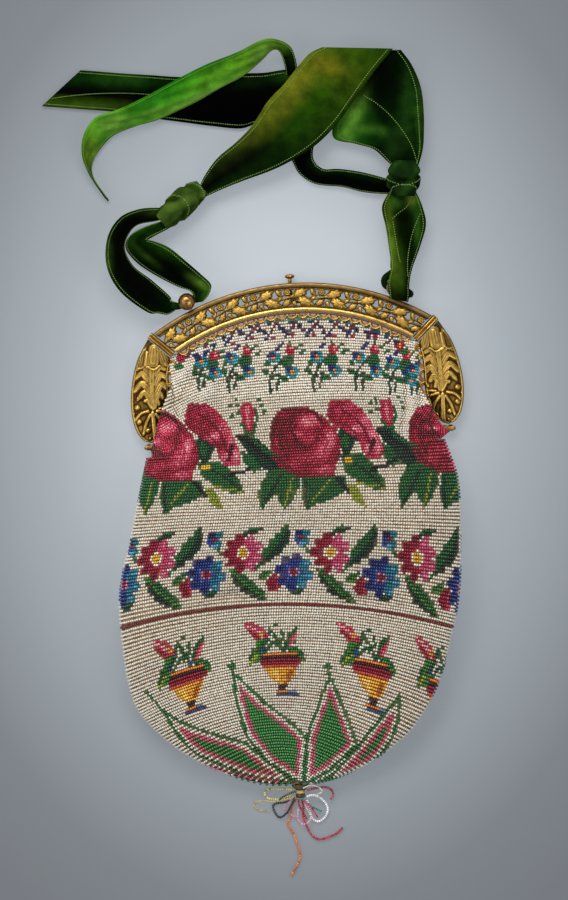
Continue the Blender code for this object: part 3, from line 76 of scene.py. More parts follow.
def smooth(points, steps):
    """A smooth line through points, with a number of steps between each two."""
    knots = np.asarray(points, float)
    ends = np.vstack([2 * knots[0] - knots[1], knots, 2 * knots[-1] - knots[-2]])
    t = (np.arange(steps) / steps)[:, None]
    rows = []
    for a, b, c, d in zip(ends, ends[1:], ends[2:], ends[3:]):
        rows.append(0.5 * (2 * b + (c - a) * t + (2 * a - 5 * b + 4 * c - d) * t**2 + (3 * b - a - 3 * c + d) * t**3))
    return np.vstack([*rows, knots[-1:]])


def arcs_of(line):
    """How far along a line each of its points lies."""
    return np.concatenate([[0], np.cumsum(np.linalg.norm(np.diff(line, axis=0), axis=1))])


def picked(goal, at, line):
    """The values of a line at given places along it."""
    return np.column_stack([np.interp(goal, at, line[:, i]) for i in range(line.shape[1])])


def even(line, count):
    """Points at even distances along a line."""
    at = arcs_of(line)
    return picked(np.linspace(0, at[-1], count), at, line)


def unit(vectors):
    return vectors / np.maximum(np.linalg.norm(vectors, axis=-1, keepdims=True), 1e-12)


def circle(sides):
    """The angles of a ring of points."""
    return 2 * math.pi * np.arange(sides) / sides


def tube(spots, axes, reach):
    """Rings of points round a line: its places, its axes there, and the radii of each ring."""
    angle = circle(reach.shape[1])[None, :, None]
    around = axes[:, None, 0] * np.cos(angle) + axes[:, None, 1] * np.sin(angle)
    return (spots[:, None] + around * reach[:, :, None]).reshape(-1, 3)


def tube_faces(rings, sides):
    """Faces of a tube that is closed at both ends."""
    ends = [tuple(reversed(range(sides))), tuple((rings - 1) * sides + j for j in range(sides))]
    return grid_faces(rings, sides, closed=True) + ends


def flipped(faces):
    return [tuple(reversed(face)) for face in faces]


def within(x, y, outline):
    """Which points lie inside a closed outline."""
    inside = np.zeros(len(x), bool)
    for (x0, y0), (x1, y1) in zip(outline, outline[1:] + outline[:1]):
        if y0 != y1:
            inside ^= ((y0 > y) != (y1 > y)) & (x < (x1 - x0) * (y - y0) / (y1 - y0) + x0)
    return inside


def nearest(x, y, line, least=1e-9):
    """How far points lie from a line, how many of its steps along it that is, and on which side."""
    best, step_at, side = np.full(len(x), 1e9), np.zeros(len(x)), np.zeros(len(x))
    for i, ((x0, y0), (x1, y1)) in enumerate(zip(line, line[1:])):
        dx, dy = x1 - x0, y1 - y0
        t = np.clip(((x - x0) * dx + (y - y0) * dy) / max(dx * dx + dy * dy, least), 0, 1)
        off_x, off_y = x - x0 - t * dx, y - y0 - t * dy
        away = np.hypot(off_x, off_y)
        nearer = away < best
        best = np.where(nearer, away, best)
        step_at = np.where(nearer, i + t, step_at)
        side = np.where(nearer, np.sign(dx * off_y - dy * off_x), side)
    return best, step_at, side


def dress(piece, slot, body, *nodes):
    """Ties a piece to the body that it rides on and hides the nodes that it stands for; slot, what it is made of, is
    not used.
    """
    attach(piece, body)
    if nodes:
        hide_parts(*nodes)


def length_of(line):
    return float(np.linalg.norm(np.diff(np.asarray(line, float), axis=0), axis=1).sum())


def added(name, data):
    """A new object in the scene."""
    made = bpy.data.objects.new(name, data)
    bpy.context.scene.collection.objects.link(made)
    return made


def mesh_object(name, points, faces, material):
    """A mesh piece from points and faces."""
    mesh = bpy.data.meshes.new(name)
    mesh.from_pydata([tuple(p) for p in points], [], [tuple(f) for f in faces])
    mesh.update()
    mesh.polygons.foreach_set("use_smooth", [True] * len(mesh.polygons))
    mesh.materials.append(material)
    return added(name, mesh)


def grid_faces(rows, columns, closed=False):
    """Quads of a grid of points, row by row; closed joins its last column to its first."""
    faces = []
    for i in range(rows - 1):
        for j in range(columns if closed else columns - 1):
            k = (j + 1) % columns
            faces.append((i * columns + j, i * columns + k, (i + 1) * columns + k, (i + 1) * columns + j))
    return faces


# ---- materials

def colour(r, g, b):
    """A colour as written on a screen, 0 to 255, turned into light."""
    shares = (c / 12.92 if c <= 0.04045 else ((c + 0.055) / 1.055) ** 2.4 for c in (r / 255, g / 255, b / 255))
    return (*shares, 1.0)


class Surface:
    """A node material with a Principled shader and short ways to add what it needs."""

    def __init__(self, name, base, roughness, metallic=0.0, **sockets):
        self.material = bpy.data.materials.new(name)
        self.material.use_nodes = True
        self.tree = self.material.node_tree
        self.shader = self.tree.nodes["Principled BSDF"]
        for socket, value in {"Base Color": base, "Roughness": roughness, "Metallic": metallic, **sockets}.items():
            self.set(socket.replace("_", " "), value)
        self.coords = self.node("ShaderNodeTexCoord").outputs["Object"]

    def set(self, socket, value):
        self.shader.inputs[socket].default_value = value

    def node(self, kind, **values):
        """A new node, with its inputs or its own settings by name."""
        made = self.tree.nodes.new(kind)
        for key, value in values.items():
            if key.replace("_", " ") in made.inputs.keys():
                made.inputs[key.replace("_", " ")].default_value = value
            else:
                setattr(made, key, value)
        return made

    def link(self, a, b):
        self.tree.links.new(a, b)

    def mapped(self, **values):
        """The part's own metres, moved or stretched."""
        made = self.node("ShaderNodeMapping", **values)
        self.link(self.coords, made.inputs["Vector"])
        return made.outputs["Vector"]

    def noise(self, scale, detail=3.0, stretch=None):
        """Noise in the part's own metres."""
        source = self.mapped(Scale=stretch) if stretch else self.coords
        made = self.node("ShaderNodeTexNoise", Scale=scale, Detail=detail)
        self.link(source, made.inputs["Vector"])
        return made.outputs["Fac"]

    def tint(self):
        """The colour that each point of a mesh carries."""
        return self.node("ShaderNodeVertexColor", layer_name="tint").outputs["Color"]

    def ramp(self, factor, stops):
        made = self.node("ShaderNodeValToRGB")
        elements = made.color_ramp.elements
        while len(elements) < len(stops):
            elements.new(0.5)
        for element, (at, value) in zip(elements, stops):
            element.position = at
            element.color = value
        self.link(factor, made.inputs["Fac"])
        return made.outputs["Color"]

    def value_ramp(self, factor, low, high, to_low, to_high):
        made = self.node("ShaderNodeMapRange", From_Min=low, From_Max=high, To_Min=to_low, To_Max=to_high)
        self.link(factor, made.inputs["Value"])
        return made.outputs["Result"]

    def mix(self, factor, a, b, blend="MIX"):
        made = self.node("ShaderNodeMix", data_type="RGBA", blend_type=blend)
        for socket, value in ((made.inputs[0], factor), (made.inputs[6], a), (made.inputs[7], b)):
            if isinstance(value, bpy.types.NodeSocket):
                self.link(value, socket)
            else:
                socket.default_value = value
        return made.outputs[2]

    def bump(self, height, strength, distance):
        made = self.node("ShaderNodeBump", Strength=strength, Distance=distance)
        self.link(height, made.inputs["Height"])
        self.link(made.outputs["Normal"], self.shader.inputs["Normal"])

    def base(self, source):
        self.link(source, self.shader.inputs["Base Color"])

    def uneven(self, scale, detail, low, high):
        """Roughness that wanders between two values."""
        source = self.value_ramp(self.noise(scale, detail), 0.3, 0.7, low, high)
        self.link(source, self.shader.inputs["Roughness"])


# ---- camera, light and floor

def camera():
    """A long lens straight above, so that the frame is seen in plan."""
    distance, sensor = 2.6, 36.0
    lens = bpy.data.cameras.new("camera")
    lens.sensor_width = sensor
    lens.lens = sensor * distance / (PHOTO_PX[1] * PIXEL)
    lens.clip_end = 20.0
    made = added("camera", lens)
    made.location = (*place(PHOTO_PX[0] / 2, PHOTO_PX[1] / 2), distance + 0.012)
    bpy.context.scene.camera = made


def lamp(name, spot, target, size, power, tint):
    """A soft box that faces a point."""
    data = bpy.data.lights.new(name, "AREA")
    data.shape = "RECTANGLE"
    data.size, data.size_y = size
    data.energy = power
    data.color = tint
    made = added(name, data)
    made.location = spot
    made.rotation_mode = "QUATERNION"
    made.rotation_quaternion = (Vector(target) - Vector(spot)).to_track_quat("-Z", "Y")


def studio():
    """Camera, soft light and a pale floor, painted lightest under the bag as a pool of light, which glows so that
    shadows on it stay faint.
    """
    camera()
    world = bpy.data.worlds.new("studio")
    bpy.context.scene.world = world
    world.use_nodes = True
    background = world.node_tree.nodes["Background"].inputs
    background["Color"].default_value = (0.80, 0.84, 0.90, 1)
    background["Strength"].default_value = 0.42
    lamp("key", (-0.25, 0.85, 1.05), (0, 0.0, 0), (0.9, 0.6), 17.0, (1.0, 0.98, 0.95))
    lamp("fill", (0.75, -0.35, 1.1), (0, -0.05, 0), (0.7, 0.9), 6.0, (0.95, 0.97, 1.0))
    lamp("rim", (-0.95, -0.2, 0.8), (0, 0, 0), (0.5, 0.9), 5.0, (1.0, 0.99, 0.97))
    floor = Surface("floor", colour(150, 158, 165), 0.9)
    far = floor.node("ShaderNodeVectorMath", operation="LENGTH")
    floor.link(floor.mapped(Location=(0.0087, -0.0096, 0), Scale=(1, 1 / 1.35, 1)), far.inputs[0])
    fade = floor.value_ramp(far.outputs["Value"], 0.04, 0.24, 0.0, 1.0)
    greys = [
        (0.0, (174, 181, 187)), (0.18, (168, 175, 181)), (0.42, (143, 150, 156)), (0.62, (126, 132, 137)),
        (0.8, (107, 112, 117)), (1.0, (100, 104, 109)),
    ]
    shade = floor.ramp(fade, [(at, colour(*grey)) for at, grey in greys])
    # Painted light: the floor glows with its own grey ramp, lightest under the bag, so that shadows on it stay faint;
    # its base colour is dimmed to match.
    floor.base(floor.mix(1.0, shade, (0.45, 0.45, 0.45, 1), "MULTIPLY"))
    floor.link(shade, floor.shader.inputs["Emission Color"])
    floor.set("Emission Strength", 0.74)
    corners = [(x * FLOOR_SIZE, y * FLOOR_SIZE, 0) for x, y in ((-1, -1), (1, -1), (1, 1), (-1, 1))]
    made = mesh_object("floor", corners, [(0, 1, 2, 3)], floor.material)
    made.location.z = -FLOOR_DROP
    bpy.context.scene.view_settings.view_transform = "Standard"


studio()

# ---- strings of beads left of the tassel: (picture x, picture y, height in radii of a bead string)

ROUTES = {
    "strand_orange": [
        (296.4, 799.3, 2.7), (293, 806, 1.6), (291.6, 812, 1.2), (290, 820, 1.2), (287.5, 825, 1.2),
        (290, 829.5, 1.2), (294, 836, 1.2), (297, 845, 1.2), (299.5, 853, 1.2), (300, 860, 1.2),
        (296.5, 868, 1.2), (291, 877.5, 1.2),
    ],
    "strand_red": [
        (302, 800.6, 2.4), (303.5, 808, 1.3), (303, 818, 1.2), (306, 826, 1.2), (310, 834, 1.2),
        (315, 839.5, 1.2), (321, 841, 1.2), (328, 839, 1.2), (337, 835, 1.2), (343, 829, 1.2),
    ],
    "loop_white": [
        (306.6, 798, 4.5), (311, 796.3, 4.8), (316, 796.8, 4.3), (321, 799.5, 3.5), (326, 805, 2.1),
        (328, 811.5, 1.2), (325, 819, 1.2), (318.5, 823, 1.2), (312.5, 820, 1.2), (310, 813, 1.3),
        (308.5, 806, 1.9), (306.8, 801, 2.7),
    ],
    "loop_pink": [
        (299.3, 800.6, 2.9), (299, 808, 2.1), (298, 816, 1.7), (299, 822.5, 2.4), (303.5, 825.5, 4.0),
        (308.5, 823.5, 4.3), (311, 818.5, 4.3), (308, 812, 4.8), (305, 805, 5.3), (303.6, 800.8, 5.9),
    ],
    "loop_black": [
        (294.5, 798, 5.3), (291.5, 806, 4.5), (287, 814, 3.5), (280, 819, 1.6), (275, 814, 1.2),
        (273, 807.5, 1.2), (277, 804.7, 1.3), (284, 804, 1.6), (290, 802, 2.1),
    ],
    "loop_yellow": [
        (294.3, 791.3, 5.6), (284, 790.3, 5.3), (275, 790, 4.3), (268, 791, 3.5), (264.5, 795, 3.2),
        (268, 799.6, 3.2), (276, 800.6, 3.5), (284, 800, 4.5), (290.5, 796.5, 6.4),
    ],
    "loop_rust": [
        (306.9, 791.6, 6.1), (313, 789.8, 5.6), (320, 788.6, 4.8), (327, 788.6, 4.0), (332, 791.5, 3.2),
        (333.5, 797, 2.7), (330.5, 801, 2.7),
    ],
    "thread_gold": [
        (295.9, 797, 8.0), (288, 799.5, 7.7), (275, 802.5, 6.9), (262, 802, 4.0), (255, 804, 0.80),
        (254, 808, 0.67), (259, 811.5, 0.67), (269, 813, 0.67),
    ],
}


def painted_points(mesh, tints):
    """Gives the points of a mesh their colours."""
    shade = np.ones((len(mesh.vertices), 4))
    shade[: len(tints), :3] = tints
    mesh.color_attributes.new("tint", "FLOAT_COLOR", "POINT").data.foreach_set("color", shade.reshape(-1))


def copies(name, template, faces, centres, axes, tints, material, cells=True):
    """One mesh of many small copies of a template, each with its own axes and its own colour."""
    template, count = np.asarray(template, float), len(centres)
    width = len(template)
    points = centres[:, None, :] + np.einsum("vk,nkc->nvc", template, axes)
    mesh = bpy.data.meshes.new(name)
    corners = np.concatenate([np.asarray(face) for face in faces])
    sizes = np.array([len(face) for face in faces])
    mesh.vertices.add(count * width)
    mesh.vertices.foreach_set("co", points.reshape(-1))
    mesh.loops.add(count * len(corners))
    loops = (np.arange(count)[:, None] * width + corners[None, :]).reshape(-1)
    mesh.loops.foreach_set("vertex_index", loops.astype(np.int32))
    mesh.polygons.add(count * len(faces))
    starts = np.concatenate([[0], np.cumsum(np.tile(sizes, count))[:-1]])
    mesh.polygons.foreach_set("loop_start", starts.astype(np.int32))
    mesh.update(calc_edges=True)
    mesh.polygons.foreach_set("use_smooth", np.ones(count * len(faces), bool))
    painted_points(mesh, np.repeat(np.asarray(tints, float)[:, :3], width, axis=0))
    if cells:
        side = int(math.ceil(math.sqrt(count)))
        spread = template[:, :2] / (2.3 * np.abs(template[:, :2]).max()) + 0.5
        index = np.arange(count)
        cell = np.column_stack([index % side, index // side])
        flat = (cell[:, None, :] + spread[None, corners, :]) / side
        mesh.uv_layers.new(name="OFBake").data.foreach_set("uv", flat.reshape(-1))
    mesh.materials.append(material)
    mesh.validate()
    return added(name, mesh)


def dome(rings, sides):
    """A bead's upper half as a template: rings of (width share, height share) and a pole."""
    points = [(wide * math.cos(a), wide * math.sin(a), high) for wide, high in rings for a in circle(sides)]
    last = (len(rings) - 1) * sides
    cap = [(last + j, last + (j + 1) % sides, len(points)) for j in range(sides)]
    return [*points, (0, 0, 1)], grid_faces(len(rings), sides, closed=True) + cap


def whole_bead(sides, rings):
    """A whole bead, turned about its own bore (its third axis), with a dimple at both ends."""
    turn = math.pi * (0.1 + 0.8 * np.arange(rings)[:, None] / (rings - 1))
    angle = circle(sides)[None, :]
    points = np.stack([np.sin(turn) * np.cos(angle), np.sin(turn) * np.sin(angle), -np.cos(turn) + 0 * angle], axis=2)
    return points.reshape(-1, 3), tube_faces(rings, sides)


def glass(name, roughness):
    """Opaque glass beads: their own colour, a clear gloss and a little uneven tone."""
    made = Surface(name, (0.8, 0.76, 0.68, 1), roughness, IOR=1.5, Coat_Weight=0.18, Coat_Roughness=0.12)
    cloud = made.ramp(made.noise(900.0, 2.0), [(0.3, (0.78, 0.76, 0.74, 1)), (0.62, (1.08, 1.07, 1.05, 1))])
    made.base(made.mix(0.35, made.tint(), cloud, "MULTIPLY"))
    made.uneven(1500.0, 1.0, roughness - 0.07, roughness + 0.16)
    made.bump(made.noise(2600.0, 1.0), 0.02, 0.0001)
    return made.material


def in_light(tint):
    return np.array(colour(*tint)[:3])


SEED = np.random.default_rng(7)
STRING_GLASS = glass("string_beads", 0.22)
STRING_SLOTS = {
    "strand_orange": "orange_beads", "strand_red": "red_beads", "loop_white": "white_beads", "loop_pink": "pink_beads",
    "loop_black": "black_beads", "loop_yellow": "yellow_beads", "loop_rust": "rust_beads",
}
STRING_TINTS = {
    "strand_orange": ((204, 104, 6), (220, 126, 14), (176, 84, 4)),
    "strand_red": ((176, 8, 44), (198, 26, 64), (140, 4, 32)),
    "loop_white": ((226, 226, 228), (208, 210, 214), (238, 238, 240)),
    "loop_pink": ((206, 150, 170), (222, 178, 190), (180, 118, 140)),
    "loop_black": ((10, 26, 26), (18, 44, 42), (6, 12, 12)),
    "loop_yellow": ((196, 184, 110), (214, 204, 140), (150, 140, 70)),
    "loop_rust": ((150, 50, 60), (176, 78, 84), (120, 34, 44)),
}
STRAND_RADIUS, FINE_STRAND_RADIUS, THREAD_RADIUS = 0.75 * MM, 0.6 * MM, 0.35 * MM
STRING_BEAD = whole_bead(10, 7)
BEAD_FLATNESS = 0.72
LOOK_AHEAD = 0.0003


def route(name):
    """The middle line of a string, in metres."""
    points = [(*place(px, py), level * STRAND_RADIUS) for px, py, level in ROUTES[name]]
    return smooth(points, 10)


def frames_along(line, centres_at):
    """Centres at given distances along a line, with axes: two across it and one along it."""
    at = arcs_of(line)
    spot, ahead, behind = (picked(centres_at + step, at, line) for step in (0, LOOK_AHEAD, -LOOK_AHEAD))
    along = unit(ahead - behind)
    side = unit(np.cross(along, np.array([0.02, 0.03, 1.0])))
    return spot, np.stack([side, np.cross(side, along), along], axis=1)


# Short ends of broken strings in the tuft: picture places with heights in mm, colours and bead size
SHORT_STRINGS = [
    (
        "tuft_teal", [(301, 799, 4.6), (307, 804, 3.6), (314, 809, 2.4), (322, 813, 1.0)],
        ((8, 96, 92), (20, 130, 120)), 0.62,
    ),
    (
        "tuft_crimson", [(298, 800, 4.2), (300, 808, 3.2), (304, 815, 2.2), (307, 821, 1.0)],
        ((120, 4, 30), (160, 20, 56)), 0.6,
    ),
    (
        "tuft_rose", [(303, 801, 5.8), (309, 806, 4.4), (314, 812, 2.6), (318, 819, 1.0)],
        ((190, 70, 96), (150, 20, 50)), 0.55,
    ),
    (
        "tuft_pink", [(292, 801, 4.4), (284, 808, 2.4), (289, 815, 1.6), (297, 819, 1.0)],
        ((206, 150, 168), (190, 120, 140)), 0.5,
    ),
    (
        "tuft_green", [(296, 792, 7.4), (290, 794, 7.2), (284, 797, 6.6), (279, 801, 5.2)], ((6, 30, 22), (12, 60, 36)),
        0.66,
    ),
    (
        "tuft_white", [(303, 789, 7.0), (311, 786, 6.6), (319, 788, 6.0), (322, 793, 5.4), (314, 796, 5.8)],
        ((214, 208, 196), (190, 180, 166)), 0.5,
    ),
]


def beaded(name, line, radius, tints, slot, shares=None):
    """Beads threaded along a line; shares says how often each tint comes, among beads of uneven size."""
    long = length_of(line)
    count = max(3, int(long / (radius * 1.5)))
    centres, axes = frames_along(line, (np.arange(count) + 0.5) * long / count)
    size = 1 + SEED.uniform(-0.07, 0.05, (count, 1, 1)) if shares else 1.0
    tint = np.array([in_light(tints[i]) for i in SEED.choice(len(tints), count, p=shares)])
    axes = axes * (radius * np.array([1, 1, BEAD_FLATNESS]))[None, :, None] * size
    made = copies(name, *STRING_BEAD, centres, axes, tint, STRING_GLASS, cells=False)
    dress(made, slot, REAR)
    return made


def strings():
    """The strings of beads, the short broken ends in the tuft and the gold thread."""
    for name, tints in STRING_TINTS.items():
        line = route(name)
        radius = FINE_STRAND_RADIUS if name == "loop_pink" else STRAND_RADIUS
        made = beaded(name + "_beads", line, radius, tints, STRING_SLOTS[name], (0.55, 0.25, 0.2))
        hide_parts(name)
    for name, points, tints, radius in SHORT_STRINGS:
        line = even(smooth([(*place(px, py), lift * MM) for px, py, lift in points], 8), 60)
        beaded(name, line, radius * MM, tints, "white_beads" if "white" in name else "red_beads")
    line = route("thread_gold")
    made = thread_piece("thread_gold_twist", line, THREAD_RADIUS, THREAD)
    dress(made, "gold_thread", REAR, "thread_gold")


def thread_piece(name, line, radius, material):
    """A twisted thread: a tube of three lobes that turn along it."""
    twist, sides = 1400.0, 12
    at = np.linspace(0, length_of(line), max(12, int(length_of(line) / (radius * 0.6))))
    spots, axes = frames_along(line, at)
    reach = radius * (0.9 + 0.14 * np.cos(3 * (circle(sides)[None, :] - at[:, None] * twist)))
    return mesh_object(name, tube(spots, axes, reach), tube_faces(len(at), sides), material)


def silk_thread(name, base, deep):
    made = Surface(name, base, 0.5, Sheen_Weight=0.25)
    made.base(made.ramp(made.noise(1200.0), [(0.35, deep), (0.6, base)]))
    made.bump(made.noise(3500.0, 2.0), 0.25, 0.0002)
    return made.material


THREAD = silk_thread("gold_thread_twist", colour(196, 168, 96), colour(120, 92, 40))
strings()

# ---- the bag's own surface: rows of the bead fabric as the picture shows them

BAG_ROWS = [
    ((145.8, 458.5), (445.5, 439.5), 449.0), ((141.0, 483.0), (457.5, 473.0), 478.0),
    ((135.0, 513.0), (461.0, 507.0), 507.0), ((128.5, 546.0), (461.0, 543.0), 536.0),
    ((121.5, 576.0), (461.0, 578.0), 563.0), ((118.7, 606.0), (457.5, 610.0), 588.0),
    ((121.5, 640.0), (451.5, 636.0), 612.0), ((126.5, 676.0), (444.5, 668.0), 640.0),
    ((136.0, 708.0), (431.5, 700.0), 668.0), ((156.0, 732.0), (410.0, 732.0), 697.0),
    ((185.0, 755.0), (379.0, 758.0), 725.0), ((222.0, 774.0), (346.0, 776.0), 750.0),
    ((262.0, 786.0), (322.0, 784.0), 770.0),
]
FRONT_EDGE_SHARES = (
    [
        (1.215, -0.03, 2.5), (1.19, 0.1, 2.4), (1.14, 0.3, 2.2), (1.08, 0.48, 1.7), (1.03, 0.62, 0.9),
        (1.02, 0.74, 0.25), (1.035, 0.88, 0.12), (1.0, 0.985, 0.1),
    ],
    [
        (1.215, -0.03, 2.5), (1.165, 0.03, 2.4), (1.105, 0.17, 2.1), (1.055, 0.32, 1.6), (1.01, 0.44, 0.9),
        (1.01, 0.6, 0.25), (1.035, 0.86, 0.12), (1.0, 0.985, 0.1),
    ],
)
REAR_EDGE = [
    (1.08, -0.02, -0.35), (1.05, 0.03, -0.35), (1.03, 0.1, -0.35), (1.01, 0.22, -0.4), (0.98, 0.36, -0.45),
    (0.915, 0.56, -0.5), (0.905, 0.80, -0.5),
]
REAR_EDGE_SHARES = (REAR_EDGE, REAR_EDGE)
BAG_POLE = (300.5, 787.0)
THICKNESS_SHARES = [0.74, 0.87, 0.96, 1.0, 1.0, 0.98, 0.94, 0.88, 0.80, 0.70, 0.59, 0.46, 0.34, 0.183]
BAG_THICKNESS = 35.0 * MM
SEAM_CREST, SEAM_BLEND = 449.0, 14.0
SEAM_DROP = 6.0 * MM
SECTION_POWER = 2.7
REST_FLAT = 1.0 * MM
ARCH_CENTRE = -53.685 * MM
COLLAR_INNER = (66.4 * MM, 50.1 * MM)
COLLAR_ANGLE = 0.568916
BEAD_EDGE = 119.9 * MM


def on_arch(angle, radius):
    """A point of the arch, by its angle from the top."""
    return radius * math.sin(angle), ARCH_CENTRE + radius * math.cos(angle)


def in_world(points):
    """Points of the frame's drawing, in the part's own axes."""
    points = np.atleast_2d(np.asarray(points, float))
    cosine, sine = math.cos(TILT), math.sin(TILT)
    x = points[:, 0] * cosine - points[:, 1] * sine
    y = points[:, 0] * sine + points[:, 1] * cosine
    return np.column_stack([x, y, points[:, 2] + HALF_DEPTH])


def row_table():
    """Left edge, right edge, crest and thickness at a fine step of rows, smooth from row to row."""
    raw = [[*left, *right, crest] for left, right, crest in BAG_ROWS] + [[*BAG_POLE, *BAG_POLE, BAG_POLE[1]]]
    table = np.column_stack([np.array(raw), np.array(THICKNESS_SHARES) * BAG_THICKNESS])
    return smooth(table, 12)


ROW_TABLE = row_table()
ROW_CRESTS = ROW_TABLE[:, 4]


def section(crest, turns):
    """One row of fabric round the bag, by the picture height at which it crosses the middle."""
    left_x, left_y, right_x, right_y, _, height = [np.interp(crest, ROW_CRESTS, ROW_TABLE[:, i]) for i in range(6)]
    swing, lift = (np.sign(way) * np.abs(way) ** (2 / SECTION_POWER) for way in (np.cos(turns), np.sin(turns)))
    start, end = np.array(place(left_x, left_y)), np.array(place(right_x, right_y))
    x = start[0] + (end[0] - start[0]) * (swing + 1) / 2
    edge = start[1] + (end[1] - start[1]) * (swing + 1) / 2
    y = edge + ((HINGE_PX - crest) * PIXEL - (start[1] + end[1]) / 2) * (1 - swing**2)
    near = np.clip((crest - SEAM_CREST) / SEAM_BLEND, 0, 1)
    y = y * near + (x * math.tan(TILT) - SEAM_DROP - (crest - SEAM_CREST) * PIXEL) * (1 - near)
    z = height / 2 * (1 + lift) - REST_FLAT * np.maximum(0.0, -lift)
    return np.column_stack([x, y, np.maximum(z, 0)])


def mouth_edge(shares, level_sign):
    """The fabric's edge along one half of the frame, from the left hinge over to the right one."""
    sides = []
    for side, rows in zip((-1, 1), shares):
        half = [(side * COLLAR_INNER[0] * a, COLLAR_INNER[1] * h, HALF_DEPTH * level) for a, h, level in rows]
        for share in (0.9, 0.78, 0.62, 0.44, 0.22, 0.0):
            x, y = on_arch(side * COLLAR_ANGLE * share, BEAD_EDGE)
            half.append((x, y, level_sign * HALF_DEPTH * 0.15))
        sides.append(half)
    return smooth(in_world(sides[0] + sides[1][-2::-1]), 8)


def panel(shares, sign):
    """A dense grid of the fabric from the seam up to one half of the frame."""
    columns, rows = 161, 41
    edge = mouth_edge(shares, sign)
    first, last = (0.1, 0.9) if sign > 0 else (1.2, 1.8)
    base = section(SEAM_CREST, np.linspace(first * math.pi, last * math.pi, columns))
    share = np.linspace(0, 1, columns)
    share = 0.5 - np.sign(2 * share - 1) * np.abs(2 * share - 1) ** 0.8 / 2
    if sign < 0:
        share = 1 - share
    at = arcs_of(edge)
    top = picked(share * at[-1], at, edge)
    grid = []
    for up in np.arange(rows) / (rows - 1):
        row = base + (top - base) * up
        row[:, 2] += sign * BAG_THICKNESS * 0.22 * up * (1 - up) * np.sin(math.pi * share)
        row[:, 2] = np.maximum(row[:, 2], 0)
        grid.append(row)
    return np.array(grid)

# ---- the knitted pattern, in picture points on the front; the back has it mirrored

IVORY, TAN = (203, 196, 180), (136, 112, 84)
CRIMSON, DEEP_RED, MAROON = (132, 5, 33), (76, 1, 16), (104, 18, 20)
ROSE, PINK, PALE_PINK, BLUSH = (176, 42, 72), (204, 96, 116), (222, 150, 154), (230, 188, 176)
LEAF, DARK_LEAF, NEAR_BLACK, LIME, YELLOW = (22, 86, 36), (8, 44, 26), (8, 14, 14), (128, 140, 40), (206, 164, 40)
NAVY, ROYAL, TEAL, SKY = (12, 18, 66), (22, 52, 128), (12, 104, 122), (84, 150, 180)
FERN, STALK, BUD_GREEN = (60, 116, 40), (10, 60, 34), (20, 84, 40)
GREEN_EDGE, ROSE_BAND, DEEP_GREEN = (38, 102, 48), (192, 82, 108), (34, 96, 44)
REDS = [DEEP_RED, (102, 3, 24), CRIMSON, (150, 16, 45), ROSE, (186, 60, 88), PINK, (208, 106, 124), PALE_PINK, BLUSH]


class Paint:
    """Colours of beads by their places in the pattern; shapes are laid one over another."""

    def __init__(self, u, v):
        self.u, self.v = np.asarray(u, float), np.asarray(v, float)
        self.shift = 0.0
        self.tints = np.tile(in_light(IVORY), (len(self.u), 1))
        self.painted = np.zeros(len(self.u), bool)

    def lay(self, inside, tint):
        self.tints[inside] = in_light(tint)
        self.painted[inside] = tint != IVORY

    def poly(self, outline, tint):
        self.lay(within(self.u - self.shift, self.v, outline), tint)

    def blob(self, cx, cy, rx, ry, tint, turn=0.0):
        cosine, sine = math.cos(math.radians(turn)), math.sin(math.radians(turn))
        dx, dy = self.u - self.shift - cx, self.v - cy
        self.lay(((dx * cosine + dy * sine) / rx) ** 2 + ((dy * cosine - dx * sine) / ry) ** 2 < 1, tint)

    def line(self, points, width, tint):
        self.lay(nearest(self.u - self.shift, self.v, points)[0] < width / 2, tint)

    def graded(self, outline, spots, low):
        """A shape shaded round bright spots (x, y, width, height, strength), in steps of one bead."""
        x, y = self.u - self.shift, self.v
        value = np.full(len(x), low)
        for cx, cy, wide, tall, strength in spots:
            value += strength * np.exp(-(((x - cx) / wide) ** 2) - ((y - cy) / tall) ** 2)
        value += 0.10 * np.sin(y * 2.16) + 0.07 * np.sin(x * 1.7 + y * 0.9)
        steps = np.array([in_light(tint) for tint in REDS])
        pick = np.clip((value * len(steps)).astype(int), 0, len(steps) - 1)
        inside = within(x, y, outline)
        self.tints[inside] = steps[pick[inside]]
        self.painted[inside] = True

    def leaf(self, spine, wide, left, right, vein=None, teeth=3.5):
        """A toothed leaf along a spine, its two halves in two greens."""
        points = smooth(spine, 6)
        at = arcs_of(points)
        best, step_at, side = nearest(self.u - self.shift, self.v, points)
        along = np.interp(step_at, np.arange(len(at)), at) / at[-1]
        body = np.sin(math.pi * np.clip(along * 0.94 + 0.03, 0, 1)) ** 0.6
        inside = best < wide / 2 * body * (1 - 0.3 * ((along * teeth + 0.25 * (side > 0)) % 1.0))
        self.lay(inside & (side <= 0), left)
        self.lay(inside & (side > 0), right)
        if vein:
            self.lay(inside & (best < 1.4), vein)

    def edged(self, outline, steps):
        """A shape in bands from its edge inwards: each step is the distance where its colour ends."""
        inside = within(self.u - self.shift, self.v, outline)
        near = nearest(self.u - self.shift, self.v, outline + outline[:1])[0]
        for reach, tint in steps[::-1]:
            self.lay(inside & (near < reach), tint)

    def repeat(self, places, motif):
        for self.shift in places:
            motif(self)
        self.shift = 0.0


def percent_marks(p):
    """A row of small dashed marks under the frame."""
    upper = [
        (190, 352), (208, 342), (235, 330), (255, 327), (275, 325), (295, 323), (315.5, 324), (336, 324), (352, 326),
        (372, 329), (392, 338),
    ]
    lower = [(228, 341), (248, 336), (269, 335), (288, 332.5), (309, 332.5), (328.5, 333.5), (349, 333), (371, 334)]
    for x, y in upper:
        p.line([(x - 3.5, y + 4.5), (x + 3.5, y - 4.5)], 3.1, (96, 4, 44))
        p.blob(x - 5, y - 3, 2.9, 2.6, NAVY)
        p.blob(x + 5, y + 3, 2.9, 2.6, NAVY)
    for x, y in lower:
        p.line([(x - 3, y + 4), (x + 3, y - 4)], 3.0, (26, 26, 84))
        p.blob(x + 4.5, y + 2.5, 2.7, 2.4, (130, 10, 50))
        p.blob(x - 4.5, y - 2.5, 2.5, 2.2, NAVY)


